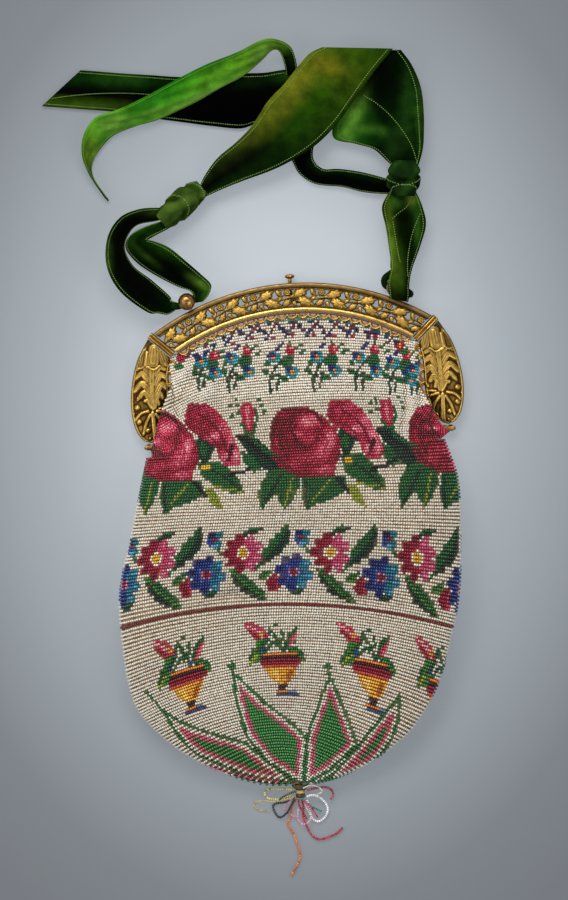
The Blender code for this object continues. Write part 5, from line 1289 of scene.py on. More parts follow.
RIBBONS = {
    "ribbon_left_loop_outer": [
        ((159.9, 209.2), (155.9, 221), 0.34, 0.06), ((140, 211), (137, 225), 0.47, 0.055),
        ((121, 220), (127, 236), 0.66, 0.05), ((109, 240), (124, 250), 0.75, 0.045),
        ((108, 268), (133, 267), 0.69, 0.045), ((121, 293), (151, 281), 0.59, 0.045),
        ((147, 313), (169, 297), 0.41, 0.045), ((158, 314.5), (170.5, 301.5), 0.3, 0.06),
        ((167, 315.5), (176, 303.5), 0.2, 0.075), ((174, 311.5), (179.5, 305.5), 0.14, 0.1),
    ],
    "ribbon_left_loop_inner": [
        ((162.5, 222), (167.5, 230), 0.155, 0.28), ((145, 228), (153, 238), 0.2, 0.41),
        ((130, 237), (148, 242), 0.2, 0.53), ((126, 249), (156, 244), 0.17, 0.59),
        ((138, 264), (170, 250), 0.125, 0.59), ((158, 277), (186, 263), 0.11, 0.56),
        ((178, 287), (201, 276), 0.1, 0.47), ((191, 292), (211, 286), 0.14, 0.4), ((194, 301), (209, 295), 0.15, 0.3),
        ((190, 305), (203, 302), 0.14, 0.2),
    ],
    "ribbon_main_band": [
        ((200.2, 186.6), (207.2, 196.6), 0.25, 0.25), ((206, 175), (222, 190), 0.31, 0.28),
        ((218, 159), (245, 181), 0.375, 0.31), ((237, 143), (275, 170), 0.41, 0.34),
        ((253, 126), (300, 157), 0.44, 0.375), ((268, 103), (320, 143), 0.47, 0.41),
        ((284, 86), (338, 124), 0.47, 0.42), ((299, 67), (353, 103), 0.47, 0.42), ((310, 55), (372, 76), 0.45, 0.41),
        ((322, 49), (393, 50), 0.44, 0.39),
    ],
    "ribbon_right_fold": [
        ((330, 53), (401, 51), 0.38, 0.33), ((343, 76), (412, 66), 0.29, 0.28), ((338, 106), (421, 88), 0.22, 0.25),
        ((333, 137), (424, 114), 0.19, 0.25), ((354, 144), (424, 135), 0.19, 0.28), ((374, 150), (423, 150), 0.22, 0.3),
        ((389, 163.6), (419, 164.6), 0.25, 0.3),
    ],
    "ribbon_right_drop": [
        ((388, 195.5), (417, 194.5), 0.28, 0.28), ((382, 209), (423, 209), 0.31, 0.25),
        ((386, 229), (426, 226), 0.34, 0.25), ((389, 250), (420, 248), 0.375, 0.31),
        ((391, 268), (412, 270), 0.485, 0.455), ((388, 284), (409, 285), 0.58, 0.575),
        ((389, 293), (409, 297), 0.56, 0.56), ((390, 300), (408, 303), 0.44, 0.44),
    ],
    "ribbon_right_drop_back": [
        ((391, 196), (413, 195), 0.14, 0.14), ((388, 212), (416, 212), 0.1, 0.08), ((390, 235), (416, 232), 0.08, 0.06),
        ((391, 255), (411, 254), 0.08, 0.06), ((391, 268.5), (401, 270), 0.09, 0.08),
    ],
    "ribbon_cross_strand": [
        ((384, 179), (384.5, 194), 0.28, 0.1), ((360, 173), (363, 192), 0.31, 0.1),
        ((338, 170), (343, 187), 0.31, 0.08), ((324, 170), (316, 184), 0.28, 0.065),
        ((315, 163), (300, 174), 0.22, 0.065), ((313, 152), (292, 160), 0.16, 0.055),
        ((318, 128), (282, 146), 0.11, 0.05), ((316, 98), (270, 134), 0.085, 0.045),
    ],
    "ribbon_long_tail": [
        ((315.3, 97.3), (269.4, 133.4), 0.085, 0.045), ((296, 71), (258, 124), 0.095, 0.045),
        ((262, 73), (240, 128.5), 0.11, 0.045), ((225, 74), (212, 126), 0.11, 0.045),
        ((185, 77), (185, 122.5), 0.095, 0.045), ((150, 75), (152, 118), 0.08, 0.045),
        ((118, 73), (118, 112), 0.065, 0.045), ((100, 71.5), (80, 109), 0.05, 0.045),
        ((80, 70), (41, 106), 0.045, 0.045),
    ],
    "ribbon_short_tail": [
        ((296, 75), (286, 74), 0.12, 0.12), ((297, 67), (285, 66), 0.165, 0.165), ((292, 50), (280, 52), 0.31, 0.19),
        ((279, 42), (272, 50), 0.44, 0.19), ((263, 42), (262, 60), 0.53, 0.165), ((237, 55), (243, 76), 0.56, 0.155),
        ((206, 67), (222, 87), 0.56, 0.15), ((178, 81), (194, 103), 0.53, 0.14), ((147, 98), (159, 119), 0.5, 0.11),
        ((119, 111), (135, 126), 0.47, 0.08), ((96, 119), (112, 136), 0.41, 0.06), ((84, 136), (98, 151), 0.34, 0.05),
        ((82, 155), (91, 166), 0.28, 0.045), ((89, 174), (94, 181), 0.19, 0.045), ((105, 198), (108, 201), 0.1, 0.045),
    ],
}
LEFT_LINK = [
    (170.9, 307.3, 0.135), (179.5, 306.6, 0.128), (186.8, 303.0, 0.128), (193.5, 299.7, 0.13), (200.0, 298.0, 0.2),
    (201.5, 292.0, 0.25),
]
RIGHT_LINK = [
    (394, 272.5, 0.09), (385.5, 279, 0.11), (386, 286.2, 0.128), (395.1, 289.6, 0.128), (404.2, 292.9, 0.13),
    (410, 295.5, 0.28), (409, 294, 0.535),
]
LEFT_KNOT = ((160, 223), (203, 187.5))
RIGHT_KNOT = ((404, 161), (404, 198))
RIBBON_WIDTH = 32 * MM
LINK_RADIUS = 1.95 * MM
STITCH_PITCH = 1.25 * MM

# Colours of each stretch from its start to its end, with the painted sheen and shade of its folds: (share along, left
# edge, middle, right edge)
PILE_LIGHT_AND_SHADE = {
    "ribbon_left_loop_outer": [
        (0.0, (58, 92, 30), (14, 26, 9), (16, 28, 10)), (0.35, (44, 78, 24), (9, 17, 6), (12, 22, 8)),
        (0.55, (34, 58, 18), (10, 20, 6), (26, 48, 16)), (0.8, (24, 42, 12), (10, 20, 6), (30, 62, 20)),
        (1.0, (30, 58, 16), (22, 52, 14), (34, 84, 26)),
    ],
    "ribbon_left_loop_inner": [
        (0.0, (58, 98, 30), (44, 80, 24), (18, 34, 10)), (0.3, (66, 108, 38), (30, 62, 20), (44, 80, 26)),
        (0.42, (30, 62, 20), (20, 44, 14), (70, 108, 40)), (0.65, (16, 40, 12), (8, 20, 6), (34, 62, 22)),
        (0.85, (30, 70, 22), (18, 50, 14), (44, 82, 26)), (1.0, (10, 20, 6), (28, 60, 16), (86, 128, 48)),
    ],
    "ribbon_main_band": [
        (0.0, (26, 40, 20), (16, 28, 16), (48, 76, 30)), (0.2, (70, 86, 38), (20, 36, 18), (46, 74, 30)),
        (0.38, (102, 110, 52), (46, 70, 28), (40, 66, 26)), (0.55, (126, 132, 58), (62, 92, 30), (52, 78, 28)),
        (0.72, (130, 134, 58), (72, 102, 34), (66, 90, 32)), (0.86, (122, 130, 52), (98, 114, 46), (74, 96, 34)),
        (1.0, (92, 116, 42), (80, 106, 36), (68, 96, 32)),
    ],
    "ribbon_right_fold": [
        (0.0, (6, 12, 4), (8, 16, 5), (26, 50, 14)), (0.3, (14, 24, 8), (8, 18, 6), (28, 66, 18)),
        (0.48, (90, 146, 58), (26, 60, 20), (22, 54, 15)), (0.62, (62, 118, 42), (30, 74, 24), (20, 48, 14)),
        (0.8, (18, 40, 12), (12, 30, 8), (36, 70, 20)), (1.0, (24, 48, 14), (22, 46, 13), (30, 56, 16)),
    ],
    "ribbon_right_drop": [
        (0.0, (36, 58, 15), (44, 84, 22), (74, 118, 38)), (0.25, (48, 76, 20), (10, 20, 6), (44, 84, 24)),
        (0.55, (84, 108, 32), (32, 66, 18), (24, 48, 13)), (0.8, (78, 100, 28), (24, 44, 12), (14, 26, 8)),
        (1.0, (40, 60, 16), (24, 40, 11), (20, 34, 10)),
    ],
    "ribbon_right_drop_back": [
        (0.0, (12, 26, 8), (12, 24, 7), (30, 62, 18)), (1.0, (10, 20, 6), (10, 18, 6), (10, 18, 6)),
    ],
    "ribbon_cross_strand": [
        (0.0, (28, 56, 16), (14, 30, 9), (12, 22, 7)), (0.5, (36, 72, 22), (12, 24, 8), (10, 20, 6)),
        (0.7, (20, 48, 14), (14, 34, 10), (14, 30, 9)), (1.0, (10, 20, 6), (8, 14, 5), (8, 14, 5)),
    ],
    "ribbon_long_tail": [
        (0.0, (12, 26, 8), (8, 14, 5), (5, 9, 3)), (0.08, (22, 50, 15), (12, 26, 8), (5, 8, 3)),
        (0.25, (12, 26, 8), (5, 9, 3), (5, 8, 3)), (0.5, (14, 30, 9), (5, 9, 3), (6, 10, 4)),
        (0.62, (34, 72, 20), (10, 20, 6), (46, 70, 18)), (1.0, (34, 80, 24), (14, 34, 10), (78, 102, 30)),
    ],
    "ribbon_short_tail": [
        (0.0, (14, 24, 8), (14, 24, 8), (12, 20, 7)), (0.06, (52, 84, 26), (22, 36, 12), (14, 24, 8)),
        (0.16, (120, 160, 62), (128, 168, 72), (112, 150, 54)), (0.3, (56, 132, 40), (132, 176, 78), (148, 176, 84)),
        (0.48, (44, 134, 40), (96, 160, 60), (128, 172, 80)), (0.62, (88, 150, 54), (74, 146, 48), (110, 164, 66)),
        (0.74, (112, 166, 66), (96, 156, 56), (86, 146, 50)), (0.86, (84, 122, 40), (110, 124, 42), (66, 104, 32)),
        (0.94, (70, 98, 34), (84, 104, 36), (40, 70, 22)), (1.0, (32, 64, 22), (32, 64, 22), (26, 52, 18)),
    ],
}
# Creases of each stretch: (height in mm, waves along it, waves across it, slant)
CREASES = {
    "ribbon_left_loop_outer": [(0.35, 3, 0.6, 0.4)],
    "ribbon_left_loop_inner": [(0.5, 2.5, 0.8, 0.7)],
    "ribbon_main_band": [(0.5, 1.6, 0.5, 1.2), (0.18, 6, 1.0, 1.5)],
    "ribbon_right_fold": [(1.4, 0.7, 1.6, 0.8), (0.35, 4, 1.2, 0.6)],
    "ribbon_right_drop": [(1.0, 0.6, 1.7, 0.5)],
    "ribbon_right_drop_back": [(0.5, 1, 1, 0)],
    "ribbon_cross_strand": [(0.6, 2, 0.8, 0.5)],
    "ribbon_long_tail": [(0.25, 2, 0.8, 0.3)],
    "ribbon_short_tail": [(0.55, 5, 1.1, 1.4), (0.3, 11, 1.7, 0.9)],
}


def velvet(name):
    """Silk velvet: deep pile that lights up at a low angle, crushed and worn in places, over the painted sheen and
    shade that each point's tint carries.
    """
    made = Surface(name, (0.05, 0.12, 0.02, 1), 0.95, Specular_IOR_Level=0.02, Sheen_Weight=0.012, Sheen_Roughness=0.3)
    made.set("Sheen Tint", (0.55, 0.8, 0.3, 1))
    crush = [(0.3, (0.52, 0.56, 0.5, 1)), (0.5, (1.0, 1.0, 1.0, 1)), (0.68, (1.5, 1.42, 1.25, 1))]
    pile = [(0.3, (0.74, 0.76, 0.7, 1)), (0.7, (1.2, 1.2, 1.15, 1))]
    wear_and_sheen = made.mix(0.8, made.tint(), made.ramp(made.noise(150.0, 5.0), crush), "MULTIPLY")
    made.base(made.mix(0.75, wear_and_sheen, made.ramp(made.noise(1900.0, 2.0), pile), "MULTIPLY"))
    made.bump(made.noise(2400.0, 2.0), 0.55, 0.0004)
    return made.material


VELVET = velvet("silk_velvet")


def stitches(name, line, ahead, out, light):
    """A selvedge: a row of small thread loops."""
    axes = np.stack([ahead, unit(np.cross(out, ahead)), out], axis=1) * np.array([0.46, 0.3, 0.34])[None, :, None] * MM
    tints = np.tile(in_light((98, 128, 38)), (len(line), 1)) * light[:, None]
    made = copies(name, *dome([(1.0, 0.0), (0.8, 0.62)], 6), line, axes, tints, SELVEDGE, cells=False)
    dress(made, "green_velvet", REAR)
    return made


def selvedge_material():
    made = Surface("selvedge_loops", colour(140, 158, 66), 0.6, Sheen_Weight=0.2)
    wear_and_sheen = made.ramp(made.noise(700.0, 2.0), [(0.3, (0.6, 0.65, 0.5, 1)), (0.7, (1.15, 1.15, 1.1, 1))])
    made.base(made.mix(0.5, made.tint(), wear_and_sheen, "MULTIPLY"))
    made.bump(made.noise(5200.0, 1.0), 0.3, 0.0002)
    return made.material


SELVEDGE = selvedge_material()
ACROSS = 17
# How far the ends of a stretch run on into their knots, in mm
TUCKS = {
    "ribbon_left_loop_outer": (4, 0), "ribbon_left_loop_inner": (4, 0), "ribbon_main_band": (5, 0),
    "ribbon_right_fold": (0, 5), "ribbon_right_drop": (5, 0), "ribbon_right_drop_back": (4, 0),
    "ribbon_cross_strand": (4, 0),
}


def pile_tone(tint):
    """Velvet swallows light: its dark places go much darker and greener than its lit ones."""
    return 1.25 * np.asarray(tint) ** 1.7


# Rows of stitches that cross a stretch, as picture points
SEAMS = {
    "ribbon_right_fold": [[(364, 95), (378, 104), (395, 120), (410, 142), (417, 162)]],
    "ribbon_right_drop": [
        [(412, 196), (407, 206), (400, 212), (393, 218)], [(393, 222), (396, 240), (400, 262)],
        [(420, 214), (412, 234), (408, 256), (407, 276)],
    ],
    "ribbon_long_tail": [[(52, 97), (70, 94.5), (95, 92.5), (125, 92), (160, 94)]],
}
# Lit and dark patches of the pile: picture place, half width, half height, turn, colour and strength
LIGHTS = {
    "ribbon_right_fold": [
        (352, 116, 8, 26, 18, (92, 140, 48), 0.9), (362, 128, 28, 5, 8, (60, 104, 32), 0.55),
        (384, 88, 16, 24, 35, (2, 6, 1), 0.9), (410, 100, 8, 30, 0, (30, 66, 18), 0.55),
        (397, 140, 10, 26, 20, (26, 54, 16), 0.5), (386, 122, 3, 24, -30, (4, 12, 2), 0.8),
        (421, 110, 3, 30, 0, (54, 100, 28), 0.6),
    ],
    "ribbon_right_drop": [
        (402, 222, 5, 22, 8, (4, 10, 2), 0.85), (391, 240, 4, 34, -4, (86, 112, 26), 0.8),
        (417, 226, 4, 18, 0, (44, 86, 24), 0.7), (411, 236, 3, 24, 10, (3, 8, 2), 0.8),
        (400, 272, 5, 18, 0, (60, 88, 22), 0.6), (396, 202, 6, 6, 0, (44, 84, 24), 0.6),
        (411, 198, 5, 7, 0, (96, 120, 40), 0.7),
    ],
    "ribbon_main_band": [
        (328, 66, 14, 7, 20, (124, 112, 22), 0.5), (296, 92, 6, 40, 38, (96, 96, 22), 0.5),
        (250, 156, 26, 9, -28, (3, 6, 1), 0.85), (232, 160, 14, 5, -40, (20, 26, 6), 0.6),
        (330, 108, 5, 30, 35, (30, 44, 8), 0.5),
    ],
    "ribbon_long_tail": [
        (220, 112, 60, 16, 0, (0, 0, 0), 0.9), (255, 80, 26, 6, -5, (10, 28, 5), 0.7),
        (285, 74, 12, 6, 0, (26, 60, 16), 0.7), (120, 78, 34, 7, 3, (30, 70, 16), 0.5),
        (90, 105, 40, 5, 2, (66, 88, 22), 0.5),
    ],
    "ribbon_short_tail": [
        (224, 80, 26, 4, -28, (44, 140, 34), 0.7), (205, 92, 44, 2.4, -26, (120, 170, 66), 0.7),
        (160, 100, 20, 3, -25, (56, 134, 36), 0.6), (262, 52, 14, 6, -25, (118, 156, 66), 0.6),
        (112, 123, 16, 8, -20, (120, 168, 66), 0.85), (150, 112, 24, 3, -22, (110, 160, 60), 0.7),
        (92, 150, 6, 14, 0, (104, 132, 48), 0.6), (190, 104, 30, 3, -24, (80, 128, 44), 0.6),
        (291, 56, 4, 9, 0, (14, 28, 6), 0.7),
    ],
    "ribbon_left_loop_inner": [
        (172, 272, 26, 6, 32, (2, 6, 1), 0.9), (170, 246, 22, 3, 28, (46, 76, 18), 0.5),
        (200, 283, 12, 4, 35, (84, 124, 40), 0.8), (146, 256, 14, 3, 40, (60, 92, 26), 0.6),
        (205, 296, 6, 5, 0, (40, 84, 22), 0.7),
    ],
    "ribbon_left_loop_outer": [
        (118, 244, 8, 26, 10, (2, 4, 1), 0.9), (140, 284, 26, 10, 40, (2, 5, 1), 0.85),
        (108, 262, 4, 22, 0, (50, 82, 22), 0.7), (160, 212, 16, 4, 0, (60, 88, 24), 0.7),
    ],
}


def tucked(table, at_start, reach):
    """One more station past an end of a stretch, so that it runs on into its knot."""
    first, second = (table[0], table[1]) if at_start else (table[-1], table[-2])
    step = first - second
    more = first + step * (reach * MM / np.linalg.norm((step[:3] + step[3:]) / 2))
    middle = (more[:3] + more[3:]) / 2
    more = np.concatenate([middle + (edge - middle) * 0.8 for edge in (more[:3], more[3:])])
    return np.vstack([more, table] if at_start else [table, more])


def pile_tints(name, grid, across, share):
    """Colours of a stretch with its painted sheen and shade: its stops along and across it, then its lit and dark
    patches.
    """
    stops = PILE_LIGHT_AND_SHADE[name]
    edges = np.array([[pile_tone(in_light(c)) for c in stop[1:]] for stop in stops])
    tint = np.zeros(grid.shape)
    weight = np.abs(across) ** 1.2
    for c in range(3):
        left, middle, right = (np.interp(share, [stop[0] for stop in stops], edges[:, i, c])[:, None] for i in range(3))
        tint[:, :, c] = middle * (1 - weight) + np.where(across < 0, left, right) * weight
    # Painted shade: a near-black strip along the later half of the long tail.
    if name == "ribbon_long_tail":
        tint[(share[:, None] > 0.5) & (across[None, :] > -0.05) & (across[None, :] < 0.3)] = 0.0006
    px, py = (values.reshape(grid.shape[:2]) for values in to_picture(grid.reshape(-1, 3)))
    for x, y, wide, tall, turn, tone, most in LIGHTS.get(name, ()):
        cosine, sine = math.cos(math.radians(turn)), math.sin(math.radians(turn))
        dx, dy = (px - x) * cosine + (py - y) * sine, (py - y) * cosine - (px - x) * sine
        lit = most * np.exp(-((dx / wide) ** 2) - (dy / tall) ** 2)
        tint += (in_light(tone) * 0.8 - tint) * lit[:, :, None]
    return tint.reshape(-1, 3)


def seam_line(tree, line):
    """A line of picture points laid on the ribbon, as places and normals."""
    found = []
    for x, y in smooth(line, 8):
        hit, normal, _, _ = tree.ray_cast(Vector((*place(x, y), 0.3)), Vector((0, 0, -1)))
        if hit:
            found.append((*hit, *(normal if normal.z > 0 else -normal)))
    found = np.array(found)
    return found[:, :3], found[:, 3:]


def stretch(name, stations):
    """One stretch of ribbon: a soft band between its two edges, with its creases, pile and selvedges."""
    table = np.array([
        [*handle_place(*left), RIBBON_WIDTH * a, *handle_place(*right), RIBBON_WIDTH * b]
        for left, right, a, b in stations
    ])
    for at_start, reach in zip((True, False), TUCKS.get(name, (0, 0))):
        if reach:
            table = tucked(table, at_start, reach)
    fine = smooth(table, 9)
    at = np.linspace(0, 1, len(fine))
    run = arcs_of((fine[:, :3] + fine[:, 3:]) / 2)
    across = np.linspace(-1, 1, ACROSS)
    grid = fine[:, None, :3] * (1 - across[None, :, None]) / 2 + fine[:, None, 3:] * (1 + across[None, :, None]) / 2
    normals = unit(np.cross(np.gradient(grid, axis=1), np.gradient(grid, axis=0)))
    normals = normals * np.where(normals[:, :, 2:].mean(axis=1, keepdims=True) < 0, -1.0, 1.0)
    grid[:, :, 2] += RIBBON_WIDTH * 0.03 * (1 - across[None, :] ** 2)
    edge = 1 - across[None, :] ** 4
    for height, waves, cross, slant in CREASES[name]:
        wave = np.sin(2 * math.pi * (waves * at[:, None] + slant * across[None, :] * 0.5) + 0.6)
        wave = wave * np.cos(math.pi * cross * across[None, :])
        grid += normals * (wave * edge * height * MM * np.sin(math.pi * np.clip(at, 0.02, 0.98))[:, None])[:, :, None]
    grid[:, :, 2] = np.maximum(grid[:, :, 2], 0.9 * MM)
    faces = grid_faces(len(fine), ACROSS)
    made = mesh_object(name + "_velvet", grid.reshape(-1, 3), faces, VELVET)
    painted_points(made.data, pile_tints(name, grid, across, run / run[-1]))
    solid = made.modifiers.new("pile", "SOLIDIFY")
    solid.thickness, solid.offset = 0.7 * MM, 0
    dress(made, "green_velvet", REAR, name)
    seams = [(grid[:, j], normals[:, j]) for j in (1, ACROSS - 2)]
    tree = BVHTree.FromPolygons([tuple(q) for q in grid.reshape(-1, 3)], faces)
    seams += [seam_line(tree, line) for line in SEAMS.get(name, ())]
    rows = []
    for line, out in seams:
        along = arcs_of(line)
        goal = np.linspace(0, along[-1], max(6, int(along[-1] / STITCH_PITCH)))
        dots, outs = picked(goal, along, line), picked(goal, along, out)
        for up in (1, -1):
            rows.append((dots + outs * up * 0.42 * MM, unit(np.gradient(dots, axis=0)), unit(outs) * up))
    spots, aheads, outs = (np.vstack(column) for column in zip(*rows))
    light = 0.75 + 0.35 * np.random.default_rng(len(name)).random(len(spots))
    trim = stitches(name + "_selvedge", spots, aheads, outs, light)


def knot_piece(name, node, ends, radius, wraps, tints, seed):
    """A knot: a few turns of the bunched ribbon drawn tight round each other."""
    start, end = (np.array([*handle_place(*spot), radius * 1.1]) for spot in ends)
    axis = unit(end - start)
    side = unit(np.cross(axis, [0, 0, 1.0]))
    up = np.cross(side, axis)
    rings, sides = 61, 64
    rng = np.random.default_rng(seed)
    phase = rng.random(3) * 6
    s, angle = np.arange(rings)[:, None] / (rings - 1), circle(sides)[None, :]
    body = radius * (0.42 + 0.58 * np.sin(math.pi * (s * 0.94 + 0.03)) ** 0.55)
    depth = sum(np.exp(-(((s - at - slant * np.sin(angle)) / width) ** 2)) for at, slant, width in wraps)
    pleat = 0.06 * np.sin(3 * angle + 5 * s + phase[1]) + 0.045 * np.sin(7 * angle - 8 * s + phase[2])
    around = side * np.cos(angle)[..., None] + up * np.sin(angle)[..., None]
    middle = start + axis * (float(np.linalg.norm(end - start)) * (0.02 + 0.96 * s))[..., None]
    grid = middle + around * (body * (1 - 0.17 * depth + pleat))[..., None]
    # Painted light and shade: lighter spiral bands of sheen, darker in the grooves where the turns bind and on the
    # knot's underside.
    wear_and_sheen = 0.5 * np.maximum(0.0, np.sin(3 * angle + 5 * s + phase[0]))
    base = in_light(tints[0]) * (1 - 0.5 * np.minimum(depth, 1))[..., None] + in_light(tints[1]) * wear_and_sheen[..., None]
    shade = base * (0.55 + 0.45 * np.maximum(0.0, np.sin(angle) * 0.7 + 0.5))[..., None]
    faces = grid_faces(rings, sides, closed=True)
    faces += [tuple(range(sides)), tuple(reversed(range((rings - 1) * sides, rings * sides)))]
    made = mesh_object(name, grid.reshape(-1, 3), faces, VELVET)
    painted_points(made.data, shade.reshape(-1, 3))
    centre = grid.mean(axis=1)
    rows = []
    for at, slant, width in wraps:
        line, out = [], []
        for j in range(2 * sides):
            turn = math.pi * j / sides
            s = min(max(at + slant * math.sin(turn) + width * 1.35, 0), 1) * (rings - 1)
            i, k = int(s), int(round(turn / (2 * math.pi) * sides)) % sides
            line.append(grid[i, k] + (grid[min(i + 1, rings - 1), k] - grid[i, k]) * (s - i))
            out.append(unit(line[-1] - centre[i]))
        line, out = np.array(line), np.array(out)
        pick = np.linspace(0, len(line) - 1, int(length_of(line) / (1.3 * MM))).astype(int)
        ahead = np.roll(line, -1, axis=0)[pick] - np.roll(line, 1, axis=0)[pick]
        rows.append((line[pick] + out[pick] * 0.05 * MM, unit(ahead), out[pick]))
    spots, aheads, outs = (np.vstack(column) for column in zip(*rows))
    stitches(name + "_selvedge", spots, aheads, outs, 0.7 + 0.3 * rng.random(len(spots)))
    dress(made, "green_velvet", REAR, node)


def link_piece(name, node, points, tint):
    """The ribbon bunched up where it runs through an eye."""
    rings, sides = 60, 30
    line = even(smooth([(*handle_place(px, py), RIBBON_WIDTH * lift) for px, py, lift in points], 10), rings)
    spots, axes = frames_along(line, np.linspace(0, length_of(line), rings))
    pleat = np.cos(6 * circle(sides)[None, :] + 0.16 * np.arange(rings)[:, None])
    made = mesh_object(name, tube(spots, axes, LINK_RADIUS * (0.9 + 0.1 * pleat)), tube_faces(rings, sides), VELVET)
    # Painted highlight: the crests of the pleats are painted lighter.
    painted_points(made.data, in_light(tint) * (0.8 + 0.5 * np.maximum(0.0, pleat)).reshape(-1, 1))
    dress(made, "green_velvet", REAR, node)


for stretch_name, stretch_stations in RIBBONS.items():
    stretch(stretch_name, stretch_stations)
knot_piece(
    "left_knot_velvet", "ribbon_left_knot", LEFT_KNOT, 7.6 * MM, [(0.30, 0.2, 0.07), (0.74, 0.16, 0.06)],
    ((44, 64, 20), (56, 74, 24)), 3,
)
knot_piece(
    "right_knot_velvet", "ribbon_right_knot", RIGHT_KNOT, 9.2 * MM, [(0.34, 0.26, 0.08), (0.8, -0.2, 0.07)],
    ((14, 34, 9), (30, 58, 16)), 5,
)
link_piece("left_link_velvet", "ribbon_left_link", LEFT_LINK, (14, 34, 9))
link_piece("right_link_velvet", "ribbon_right_link", RIGHT_LINK, (16, 30, 9))

# ---- the gilt frame, drawn as in the part: hinge line as X, arch along +Y, mating plane at level 0

ARCH_RADIUS, ARCH_ANGLE = 137.585 * MM, 0.595723
GALLERY_TOP, BAR_TOP, BAR_LOW = 134.885 * MM, 124.485 * MM, 121.885 * MM
SHOULDER = np.array([77.2, 60.2]) * MM
COLLAR_SPOT = np.array(on_arch(COLLAR_ANGLE, (BAR_TOP + BAR_LOW) / 2))
COLLAR_LINE = unit(COLLAR_SPOT - SHOULDER)
COLLAR_DOWN = np.array([-COLLAR_LINE[1], COLLAR_LINE[0]])
COLLAR_RIDGE = 1.9 * MM
CLEARANCE = 0.3 * MM
GALLERY_FACE = 4.2 * MM
GALLERY_BACK = 3.1 * MM
VINE_REPEATS = 8
MATING_GAP = 0.15 * MM
RIM_FOOT, RIM_DEPTH = 2.75 * MM, 4.6 * MM
STEM_GAP = 2.5 * MM
LOBE_LOW, LOBE_HIGH = 1.2 * MM, 2.1 * MM
SCALLOP_LOW, SCALLOP_PITCH = 118.685 * MM, 5.7 * MM
FLANGE_COUNT = 4
SIDES = (("right", 1, "left"), ("left", -1, "right"))
# Castings of a repeat of the vine: (share along, share across, turn, length, breadth, lobes, height, more)
VINE_CASTS = [
    (0.26, 0.72, 24, 9.8, 5.6, 7, 0.9, {}), (0.42, 0.28, -20, 10.2, 5.8, 7, 0.9, {}),
    (0.90, 0.78, 0, 4.3, 4.3, 6, 0.9, {"point": 0, "hollow": 0.6, "sides": 42, "rings": 9}),
    (0.64, 0.78, -58, 4.8, 2.8, 5, 0.8, {"point": 0.2, "hollow": 0.3, "sides": 30, "rings": 7}),
    (0.86, 0.24, 38, 5.8, 3.9, 5, 0.85, {"point": 0.2, "sides": 40, "rings": 8}),
    (0.10, 0.20, -60, 3.8, 2.8, 3, 0.7, {"point": 0.3, "sides": 30, "rings": 6}),
    (0.66, 0.46, 40, 3.8, 2.4, 3, 0.7, {"point": 0.3, "sides": 30, "rings": 6}),
    (0.04, 0.56, 20, 3.4, 2.0, 3, 0.7, {"point": 0.3, "sides": 30, "rings": 6}),
]
# Stalks from the stems to the rails: shares along and across at both ends
VINE_STALKS = ((0.08, 0.5, 0.12, 0.97), (0.66, 0.42, 0.62, 0.03), (0.70, 0.56, 0.74, 0.97), (0.97, 0.45, 1.0, 0.03))


def gilding(name, bright, deep, roughness=0.3, bump=0.25):
    """Gilt brass: polished on its high places, brown in its hollows, with fine wear and pitting; each point's tint
    between bright and brown also carries painted light and shade, lighter on raised parts and darker in recesses.
    """
    made = Surface(name, colour(*bright), roughness, metallic=1.0)
    tint = made.tint()
    wear = [(0.3, (0.7, 0.62, 0.5, 1)), (0.5, (1, 1, 1, 1)), (0.72, (1.12, 1.08, 0.98, 1))]
    wear_and_sheen = made.ramp(made.noise(210.0, 5.0), wear)
    made.base(made.mix(0.8, made.mix(tint, colour(*deep), colour(*bright)), wear_and_sheen, "MULTIPLY"))
    made.uneven(380.0, 4.0, roughness - 0.08, roughness + 0.2)
    made.bump(made.noise(1600.0, 3.0), bump, 0.0003)
    return made.material


GILT = gilding("gilt_brass_worn", (208, 170, 88), (62, 40, 14), 0.34)
VINE = gilding("gilt_vine_cast", (172, 138, 68), (42, 28, 10), 0.36)
BRIGHT = gilding("gilt_brass_bar", (218, 180, 100), (120, 84, 36), 0.3, 0.15)
DULL = gilding("dull_bronze", (128, 104, 62), (58, 42, 22), 0.42, 0.3)
COPPERY = gilding("coppery_flange", (150, 96, 38), (70, 40, 14), 0.42, 0.3)


def end_angle(radius, gap):
    """The angle from the top of the arch at which a piece of it stops short of the collar."""
    slant = abs(float(COLLAR_LINE @ (SHOULDER - np.array([0, ARCH_CENTRE])))) / ARCH_RADIUS
    share = (ARCH_RADIUS - radius) / (ARCH_RADIUS - (BAR_TOP + BAR_LOW) / 2)
    return ARCH_ANGLE + (COLLAR_ANGLE - ARCH_ANGLE) * share - (COLLAR_RIDGE + gap) / slant / radius


def halves(name, points, faces, material, shade=None, nodes=None, mirror=False, ends=("front", "rear")):
    """The front piece and the rear one: the rear is the front turned half round, or its mirror image."""
    value = np.ones(len(points)) if shade is None else np.clip(shade, 0, 1)
    for half in ends:
        turned, order = np.array(points, float), faces
        if half == "rear":
            turned[:, 2] *= -1
            if mirror:
                order = flipped(faces)
            else:
                turned[:, 0] *= -1
        piece = mesh_object(f"{half}_{name}", in_world(turned), order, material)
        painted_points(piece.data, np.repeat(value[:, None], 3, axis=1))
        dress(piece, "gilt_brass", FRONT if half == "front" else REAR, *(nodes or {}).get(half, ()))


def sweep(section, gap, steps=120, first=-1.0, last=1.0):
    """A section (radius, level) bent along the arch, closed at both ends."""
    points = []
    for i in range(steps + 1):
        share = first + (last - first) * i / steps
        points += [(*on_arch(share * end_angle(radius, gap), radius), level) for radius, level in section]
    return points, flipped(tube_faces(steps + 1, len(section)))


def joined(parts):
    """Several (points, faces) as one."""
    points, faces = [], []
    for more, rows in parts:
        base = len(points)
        points += [tuple(p) for p in more]
        faces += [tuple(k + base for k in row) for row in rows]
    return points, faces


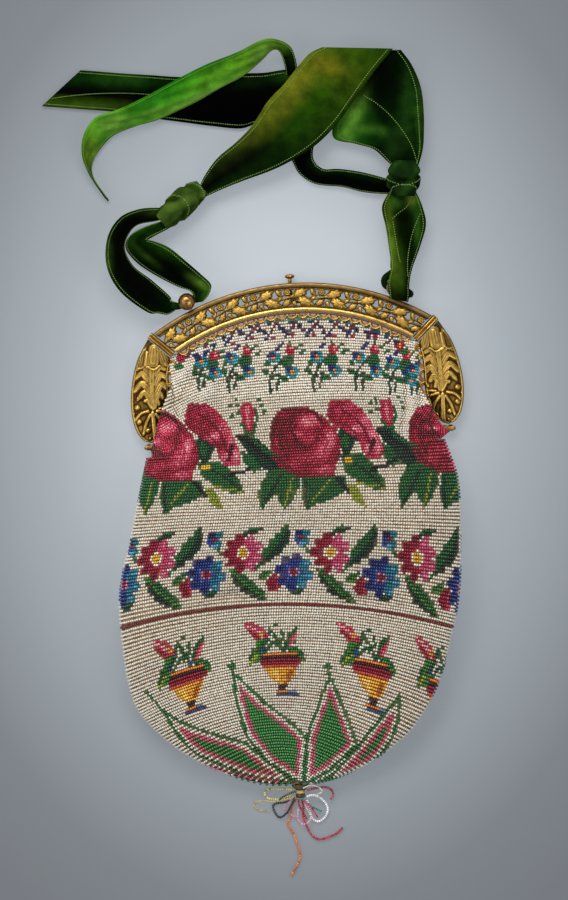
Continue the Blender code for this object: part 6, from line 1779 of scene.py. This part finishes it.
def round_section(inner, outer, low, high, curve):
    """A bar's section with a rounded face."""
    middle, half = (inner + outer) / 2, (outer - inner) / 2
    turns = [math.pi * i / 12 for i in range(1, 12)]
    round_face = [(middle + half * math.cos(turn), high - curve + curve * math.sin(turn)) for turn in turns]
    return [(inner, low), (outer, low), (outer, high - curve), *round_face, (inner, high - curve)]


def rails():
    """Rim, inner bar and collars of both halves."""
    rim = sweep(round_section(GALLERY_TOP, ARCH_RADIUS, RIM_FOOT, RIM_DEPTH, 1.0 * MM), CLEARANCE)
    foot = [(GALLERY_TOP, MATING_GAP), (ARCH_RADIUS, MATING_GAP), (ARCH_RADIUS, RIM_FOOT), (GALLERY_TOP, RIM_FOOT)]
    gap = STEM_GAP / 2 / ARCH_RADIUS / ARCH_ANGLE
    parted = [sweep(foot, CLEARANCE, 60, -1.0, -gap), sweep(foot, CLEARANCE, 60, gap, 1.0)]
    for half, base in (("front", [sweep(foot, CLEARANCE)]), ("rear", parted)):
        halves("rim_band", *joined([rim, *base]), DULL, nodes={half: [f"{half}_rim"]}, ends=(half,))
    for half, top in (("front", BAR_TOP), ("rear", BAR_TOP - 0.6 * MM)):
        bar = sweep(round_section(BAR_LOW, top, 1.6 * MM, GALLERY_FACE + 0.35 * MM, (top - BAR_LOW) / 2), CLEARANCE)
        halves("bar_band", *bar, BRIGHT, nodes={half: [f"{half}_inner_bar"]}, ends=(half,))
    profile = [(0.0, 0.0), (0.0, 0.62)]
    for ridge in (0.0, 0.5):
        rounds = [(ridge + 0.5 * (0.06 + 0.88 * i / 10), math.sin(math.pi * (0.04 + 0.92 * i / 10))) for i in range(11)]
        profile += [(across, 0.66 + 0.34 * high) for across, high in rounds]
    profile += [(1.0, 0.62), (1.0, 0.0)]
    steps = 24
    start = SHOULDER - COLLAR_LINE * 0.5 * MM
    end = start + COLLAR_LINE * (float(np.linalg.norm(COLLAR_SPOT - SHOULDER)) + 1.3 * MM)
    for name, side, other in SIDES:
        points, shade = [], []
        for i in range(steps + 1):
            s = i / steps
            base = start + (end - start) * s
            height = HALF_DEPTH - max(0.0, 2 * s - 1) * 1.7 * MM
            for across, level in profile:
                x, y = base - COLLAR_DOWN * (2 * COLLAR_RIDGE * (0.5 - across))
                points.append((side * x, y, MATING_GAP + (height - MATING_GAP) * level))
                shade.append(0.25 + 0.75 * max(0.0, (level - 0.66) / 0.34) ** 0.5)
        faces = tube_faces(steps + 1, len(profile))
        nodes = {"front": [f"front_collar_{name}"], "rear": [f"rear_collar_{other}"]}
        halves(f"collar_band_{name}", points, flipped(faces) if side > 0 else faces, GILT, shade, nodes=nodes)


def leaf(centre, ahead, side, length, breadth, lobes, height, point=0.16, rings=9, sides=56, hollow=0.0):
    """A cast leaf or flower: lobed outline, raised middle, veins to each lobe."""
    q, turn = (np.arange(rings)[:, None] + 0.4) / (rings - 0.6), circle(sides)[None, :]
    lobe = 0.5 + 0.5 * np.cos(lobes * turn)
    tip = 1 + point * np.exp(-((np.minimum(turn, 2 * math.pi - turn) / 0.35) ** 2))
    reach = (1 - 0.2 * (1 - lobe) * q) * tip * q
    flat = centre + ahead * (length / 2 * reach * np.cos(turn))[..., None]
    flat = flat + side * (breadth / 2 * reach * np.sin(turn))[..., None]
    vein = np.exp(-(((1 - lobe) / 0.10) ** 2)) * np.sin(math.pi * np.minimum(q * 1.05, 1))
    crown = (1 - q**2.4) + 0.35 * lobe * q * (1 - q**4) - 0.3 * vein - hollow * np.exp(-(((q - 0.45) / 0.16) ** 2))
    level = GALLERY_FACE + height * (crown - 0.25 * q**3)
    points = [(*spot, z) for spot, z in zip(flat.reshape(-1, 2), level.reshape(-1))]
    edge, top = (rings - 1) * sides, len(points)
    foot = top + 1
    points += [(*centre, GALLERY_FACE + height * (1.0 - hollow * 0.3))] + [(*spot, GALLERY_BACK) for spot in flat[-1]]
    shade = np.concatenate([(0.25 + 0.85 * crown - 0.35 * vein * q).reshape(-1), [1.0], np.zeros(sides)])
    faces = [(a, d, c, b) for a, b, c, d in grid_faces(rings, sides, closed=True)]
    faces += [(j, (j + 1) % sides, top) for j in range(sides)]
    faces += [(edge + j, foot + j, foot + (j + 1) % sides, edge + (j + 1) % sides) for j in range(sides)]
    faces.append(tuple(reversed(range(foot, foot + sides))))
    return points, faces, shade


def stem(line, radius, sides=8):
    """A thin round stem along a line."""
    line = np.asarray(line, float)
    spots, axes = frames_along(line, np.linspace(0, length_of(line), len(line)))
    points = tube(spots, axes, np.full((len(line), sides), radius))
    return points, tube_faces(len(line), sides), np.full(len(points), 0.55)


def vine_spot(repeat, along, across, level):
    """A place on the gallery, by its share of a repeat and of the strip's width, and the angle there."""
    span = end_angle((BAR_TOP + GALLERY_TOP) / 2, CLEARANCE)
    angle = -span + 2 * span / VINE_REPEATS * (repeat + along)
    return np.array([*on_arch(angle, BAR_TOP + (GALLERY_TOP - BAR_TOP) * across), level]), angle


def gallery():
    """The pierced vine: lobed leaves, rosettes and buds on two waving stems between thin rails."""
    parts = []
    for repeat in range(VINE_REPEATS):
        for along, across, turn, length, breadth, lobes, height, more in VINE_CASTS:
            centre, angle = vine_spot(repeat, along, across, 0)
            turn = angle - math.radians(turn)
            ahead, side = np.array([math.cos(turn), -math.sin(turn)]), np.array([math.sin(turn), math.cos(turn)])
            parts.append(leaf(centre[:2], ahead, side, length * MM, breadth * MM, lobes, height * MM, **more))
    steps = 24 * VINE_REPEATS
    for wave, phase, radius, level in ((0.07, 0.6, 0.55, 3.75), (0.16, 2.6, 0.42, 3.55)):
        line = []
        for i in range(steps + 1):
            across = 0.5 + wave * math.sin(2 * math.pi * VINE_REPEATS * i / steps + phase)
            line.append(vine_spot(0, VINE_REPEATS * i / steps, across, level * MM)[0])
        parts.append(stem(line, radius * MM))
    for repeat in range(VINE_REPEATS):
        for a0, c0, a1, c1 in VINE_STALKS:
            line = []
            for s in np.arange(9) / 8:
                level = 3.6 + 0.25 * math.sin(math.pi * s)
                line.append(vine_spot(repeat, a0 + (a1 - a0) * s, c0 + (c1 - c0) * s, level * MM)[0])
            parts.append(stem(line, 0.34 * MM))
    low, high = GALLERY_BACK, GALLERY_FACE - 0.25 * MM
    for inner, outer in (
        (BAR_TOP + 0.25 * MM, BAR_TOP + 0.85 * MM), (GALLERY_TOP - 0.85 * MM, GALLERY_TOP - 0.25 * MM),
    ):
        points, faces = sweep([(inner, low), (outer, low), (outer, high), (inner, high)], CLEARANCE * 2)
        parts.append((points, faces, [0.3] * len(points)))
    shade = np.concatenate([part[2] for part in parts])
    nodes = {"front": ["front_gallery"], "rear": ["rear_gallery"]}
    halves("vine", *joined([part[:2] for part in parts]), VINE, shade, mirror=True, nodes=nodes)


def lobe_plate(middle, ahead, side, wide, drop):
    """One pierced half-round lobe of a sewing edge, as a flat ring sector with its wire edge on top."""
    outer, inner, edge = [], [], []
    steps = 14
    for k in range(steps + 1):
        turn = math.pi * k / steps
        across, down = ahead * (wide * math.cos(turn)), side * drop
        bulge = 1 + 0.12 * math.sin(turn) ** 4
        outer.append(middle + across * 0.49 - down * (bulge * math.sin(turn) ** 0.8))
        inner.append(middle + across * 0.21 - down * (0.16 + 0.36 * math.sin(turn)))
        edge.append(middle + across * 0.40 - down * (0.80 * math.sin(turn) ** 0.8))
    points = [(*p, level) for level in (LOBE_LOW, LOBE_HIGH) for row in (outer, inner) for p in row]
    n = steps + 1
    faces = []
    for k in range(steps):
        faces.append((k, k + 1, n + k + 1, n + k))
        faces.append((2 * n + k + 1, 2 * n + k, 3 * n + k, 3 * n + k + 1))
        faces.append((k + 1, k, 2 * n + k, 2 * n + k + 1))
        faces.append((n + k, n + k + 1, 3 * n + k + 1, 3 * n + k))
    faces += [(2 * n, 3 * n, n, 0), (n - 1, 2 * n - 1, 4 * n - 1, 3 * n - 1)]
    wire = stem([(*(p * 0.5 + q * 0.5), LOBE_HIGH + 0.35 * MM) for p, q in zip(outer, edge)], 0.26 * MM)
    return (points, faces), wire[:2]


def scallops():
    """The sewing edge under the bar: pierced coppery lobes with bright wire half-rings."""
    radius = BAR_LOW - CLEARANCE
    half = end_angle(SCALLOP_LOW, CLEARANCE)
    count = max(3, round(2 * half * radius / SCALLOP_PITCH))
    step = 2 * half / count
    inner, outer = radius - 0.7 * MM, radius - 0.02 * MM
    band = [(inner, LOBE_LOW), (outer, LOBE_LOW), (outer, LOBE_HIGH), (inner, LOBE_HIGH)]
    lobes, wires = [sweep(band, CLEARANCE)], []
    for i in range(count):
        angle = -half + step * (i + 0.5)
        middle = np.array(on_arch(angle, radius - 0.6 * MM))
        ahead, out = np.array([math.cos(angle), -math.sin(angle)]), np.array([math.sin(angle), math.cos(angle)])
        plate, wire = lobe_plate(middle, ahead, out, step * radius, 2.5 * MM)
        lobes.append(plate)
        wires.append(wire)
    halves("scallop_lobes", *joined(lobes), COPPERY, nodes={"front": ["front_scallops"], "rear": ["rear_scallops"]})
    halves("scallop_wires", *joined(wires), BRIGHT)


PLATE_OUTER = [
    (0.0, 1.0), (0.243, 0.921), (0.559, 0.807), (0.808, 0.653), (0.96, 0.489), (1.0, 0.36), (0.949, 0.226),
    (0.797, 0.113), (0.514, 0.031), (0.175, 0.0),
]
PLATE_INNER = [
    (0.54, 0.985), (0.656, 0.903), (0.784, 0.802), (0.905, 0.664), (0.989, 0.539), (1.0, 0.414), (0.931, 0.295),
    (0.759, 0.182), (0.484, 0.088), (0.158, 0.025),
]
PLATE_FOOT = 2.3 * MM
PLATE_REACH, PLATE_WIDTH = 90.2 * MM, 20.9 * MM


def plate_edges(count):
    """The inner and the outer edge of the right end plate, from its collar down."""
    drop = COLLAR_DOWN * (COLLAR_RIDGE + CLEARANCE)
    outer_top, inner_top = SHOULDER + drop, COLLAR_SPOT + drop
    outer, inner = smooth(PLATE_OUTER, 16), smooth(PLATE_INNER, 16)
    pick, rows = np.linspace(0, len(outer) - 1, count), np.arange(len(outer))
    outer, inner = picked(pick, rows, outer), picked(pick, rows, inner)
    out_x = outer_top[0] + (PLATE_REACH - outer_top[0]) * outer[:, 0]
    out = np.column_stack([out_x, PLATE_FOOT + (outer_top[1] - PLATE_FOOT) * outer[:, 1]])
    ins = np.column_stack([out_x - PLATE_WIDTH * inner[:, 0], PLATE_FOOT + (inner_top[1] - PLATE_FOOT) * inner[:, 1]])
    return ins, out


def carved(spots, strokes, bosses=()):
    """Height of the carving over points, as a share: rounded strokes with grooves, and round bosses."""
    x, y = spots[:, 0], spots[:, 1]
    height = np.zeros(len(spots))
    for line, first, last, tall, vein in strokes:
        line = smooth(line, 6)
        near, step_at, _ = nearest(x, y, line, 1e-12)
        q = near / (first + (last - first) * (step_at / (len(line) - 1)))
        grooves = np.exp(-((q / 0.15) ** 2)) + 0.7 * np.exp(-(((q - 0.5) / 0.12) ** 2))
        body = tall * (0.3 * (q < 1) + 0.7 * np.sqrt(np.clip(1 - q**2, 0, 1))) - vein * grooves * (q < 1)
        height = np.maximum(height, body)
    for boss_x, boss_y, radius, tall in bosses:
        q = np.hypot(x - boss_x, y - boss_y) / radius
        height = np.maximum(height, tall * np.sqrt(np.clip(1 - q**2, 0, 1)))
    return height


# Carving of the right end plate, in picture points: (line, half width at its start and end, height, vein)
LOBES = [
    ([(436, 357), (431, 350), (425.5, 352)], 2.6, 1.7, 0.75, 0.25),
    ([(437, 366), (431, 357.5), (424.5, 361)], 3.0, 2.0, 0.8, 0.28),
    ([(438, 376), (431, 367), (423.5, 373.5)], 3.2, 2.1, 0.85, 0.3),
    ([(440, 384), (434.5, 375.5), (430.5, 380.5)], 2.8, 1.8, 0.9, 0.3),
    ([(441, 389), (437.5, 382), (435.5, 386.5)], 2.2, 1.5, 0.95, 0.25),
    ([(440, 355), (447, 347), (454, 348.5)], 2.8, 1.8, 0.75, 0.25),
    ([(441, 365), (448, 354), (456, 357)], 3.0, 2.0, 0.8, 0.28),
    ([(441, 375), (449.5, 364), (458.5, 370)], 3.2, 2.0, 0.85, 0.3),
    ([(442, 383), (448.5, 373), (455, 377.5)], 2.8, 1.8, 0.9, 0.3),
    ([(442, 389), (446, 382), (449, 381.5)], 2.2, 1.5, 0.95, 0.25), ([(442, 378), (442.2, 391)], 3.0, 0.9, 1.05, 0.2),
    ([(438, 348), (440.5, 368), (442, 388)], 2.0, 1.4, 1.25, 0.35),
]
PETALS = [
    ([(427, 334), (424.5, 345)], 4.6, 4.8, 0.62, 0.2), ([(447, 329), (451, 341)], 5.2, 5.4, 0.7, 0.22),
    ([(434, 331), (436.5, 344)], 5.4, 6.2, 1.0, 0.26), ([(441.5, 333), (444, 345)], 1.8, 2.6, 1.1, 0.0),
    ([(424, 347), (419.5, 351)], 2.4, 2.0, 0.8, 0.2), ([(430, 348), (436.5, 351.5), (443, 347.5)], 1.1, 1.1, 1.2, 0.0),
    ([(444, 346), (450, 348.5), (456, 344)], 1.0, 1.0, 1.0, 0.0),
]
RIBS = [
    ([(443, 394), (443.3, 422)], 1.7, 2.5, 1.0, 0.35), ([(440, 396), (434, 405), (431.5, 418)], 1.4, 1.5, 0.85, 0.2),
    ([(438.5, 393), (430, 396), (424, 403)], 1.4, 1.4, 0.85, 0.2),
    ([(446, 396), (451, 404), (455, 414)], 1.4, 1.5, 0.85, 0.2),
    ([(447.5, 392), (455, 393.5), (461.5, 399)], 1.4, 1.3, 0.85, 0.2),
    ([(436, 391), (428, 391), (421.5, 396)], 1.1, 1.0, 0.6, 0.1),
]
BOSSES = [
    (427, 386, 2.5, 1.1), (428.5, 402.5, 2.8, 1.15), (436.5, 415, 2.6, 1.1), (450, 411, 2.8, 1.15),
    (458, 401.5, 3.0, 1.2), (458, 387, 3.0, 1.2), (456.5, 379.5, 1.6, 0.8), (449, 419, 1.5, 0.8),
    (437.5, 422, 1.4, 0.7), (462.5, 392.5, 1.3, 0.7), (461.5, 409.5, 1.4, 0.7), (422.5, 391, 1.4, 0.7),
    (424, 410, 1.3, 0.7), (421.5, 379.5, 1.3, 0.6), (459.5, 362.5, 1.3, 0.6),
]


def drawn(px, py):
    """A picture point of the right side, in the frame's own drawing."""
    x, y = place(px, py)
    return x * math.cos(TILT) + y * math.sin(TILT), -x * math.sin(TILT) + y * math.cos(TILT)


def blurred(grid, times):
    for _ in range(times):
        padded = np.pad(grid, 1, mode="edge")
        grid = (padded[:-2, 1:-1] + padded[2:, 1:-1] + padded[1:-1, :-2] + padded[1:-1, 2:] + padded[1:-1, 1:-1]) / 5
    return grid


def drawn_strokes(strokes, fuller=1.0):
    """Strokes of the carving in the frame's own drawing, some made fuller."""
    return [([drawn(*q) for q in line], a * fuller * PIXEL, b * fuller * PIXEL, *more) for line, a, b, *more in strokes]


def plate_relief(spots, ins, out, share, rows):
    """Height and shade of a carved end plate over its grid of points."""
    bosses = [(*drawn(x, y), r * PIXEL, tall) for x, y, r, tall in BOSSES]
    height = np.maximum(carved(spots, drawn_strokes(LOBES, 1.28), bosses), carved(spots, drawn_strokes(RIBS, 1.15)))
    petals = carved(spots, drawn_strokes(PETALS))
    height = np.where(petals > 0.05, np.maximum(petals, 0.2), height).reshape(rows, -1)
    down = np.linspace(0, 1, rows)[:, None]
    across = 2 * share[None, :] - 1
    wide = np.linalg.norm(out - ins, axis=1)[:, None]
    from_edge = np.minimum((1 - np.abs(across)) * wide / 2, down * 58 * MM + 3 * MM)
    from_foot = (1 - down) * 26 * MM
    near = np.minimum(from_edge, from_foot)
    ridge = 0.75 * np.exp(-(((near - 0.75 * MM) / (0.5 * MM)) ** 2))
    height = np.maximum(height * np.clip(near / (1.4 * MM), 0, 1), ridge * (down > 0.12))
    height = height * 0.85 + 0.15 * blurred(height, 2)
    swell = (1 - np.abs(across) ** 3) * (1 - 0.35 * down**4) * np.clip(from_foot / (2.2 * MM), 0, 1) ** 0.5
    level = np.minimum(1.3 * MM + 2.8 * MM * swell + 1.2 * MM * height, HALF_DEPTH - 0.05 * MM)
    return level, np.clip(0.24 + 2.2 * (height - blurred(height, 14)) + 0.34 * height, 0.0, 1.0)


def end_plates():
    """The acanthus plates: petals under the collar, a ribbed leaf, then a fan of ribs between bosses."""
    rows, columns = 190, 76
    ins, out = plate_edges(rows)
    share = np.linspace(0, 1, columns)
    spots = (ins[:, None, :] + (out - ins)[:, None, :] * share[None, :, None]).reshape(-1, 2)
    level, shade = plate_relief(spots, ins, out, share, rows)
    count = rows * columns
    loop = [*range(columns), *(i * columns + columns - 1 for i in range(1, rows))]
    loop += ((rows - 1) * columns + j for j in reversed(range(columns - 1)))
    loop += (i * columns for i in reversed(range(1, rows - 1)))
    total = len(loop)
    faces = grid_faces(rows, columns)
    faces += [(loop[n], count + n, count + (n + 1) % total, loop[(n + 1) % total]) for n in range(total)]
    faces.append(tuple(reversed(range(count, count + total))))
    # Painted shade: the carving's shade over the plate, and its sides painted dark.
    value = np.concatenate([shade.reshape(-1), np.full(total, 0.2)])
    for name, side, other in SIDES:
        points = [(side * x, y, z) for (x, y), z in zip(spots, level.reshape(-1))]
        points += [(*points[k][:2], MATING_GAP) for k in loop]
        nodes = {"front": [f"front_end_plate_{name}"], "rear": [f"rear_end_plate_{other}"]}
        halves(f"acanthus_plate_{name}", points, flipped(faces) if side > 0 else faces, GILT, value, nodes=nodes)
        lobes, wires = [], []
        for i in range(FLANGE_COUNT):
            at = int((0.13 + 0.135 * i) * rows)
            ahead = unit(ins[at + 2] - ins[at - 2]) * np.array([side, 1])
            outward = np.array([side * 1.0, 0.0])
            middle = ins[at] * np.array([side, 1]) + outward * 0.5 * MM
            (lobe, order), wire = lobe_plate(middle, ahead, outward, 7.4 * MM, 3.6 * MM)
            lobes.append((lobe, flipped(order) if side > 0 else order))
            wires.append(wire)
        halves(f"flange_lobes_{name}", *joined(lobes), COPPERY)
        halves(f"flange_wires_{name}", *joined(wires), GILT)


def cad_metal():
    """The small turned parts stay as the part has them, with their own finish."""
    bronze = Surface("turned_bronze", colour(150, 112, 62), 0.38, metallic=1.0)
    browns = [(0.32, colour(92, 64, 34)), (0.55, colour(160, 122, 70)), (0.75, colour(196, 156, 96))]
    bronze.base(bronze.ramp(bronze.noise(300.0, 5.0), browns))
    bronze.uneven(500.0, 3.0, 0.28, 0.52)
    bronze.bump(bronze.noise(1400.0, 3.0), 0.2, 0.0002)
    steel = Surface("steel_spring", (0.42, 0.41, 0.39, 1), 0.34, metallic=1.0)
    steel.uneven(900.0, 3.0, 0.25, 0.5)
    steel.bump(steel.noise(2600.0, 2.0), 0.15, 0.0002)
    small = ("hinge_pin", "catch_button", "catch_guide", "catch_hook", "ribbon_eye")
    for name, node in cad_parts.items():
        turned = name.startswith(small) or "knuckle" in name
        if turned or name == "catch_spring":
            for material_slot in node.material_slots:
                material_slot.material = bronze.material if turned else steel.material


rails()
gallery()
scallops()
end_plates()
cad_metal()
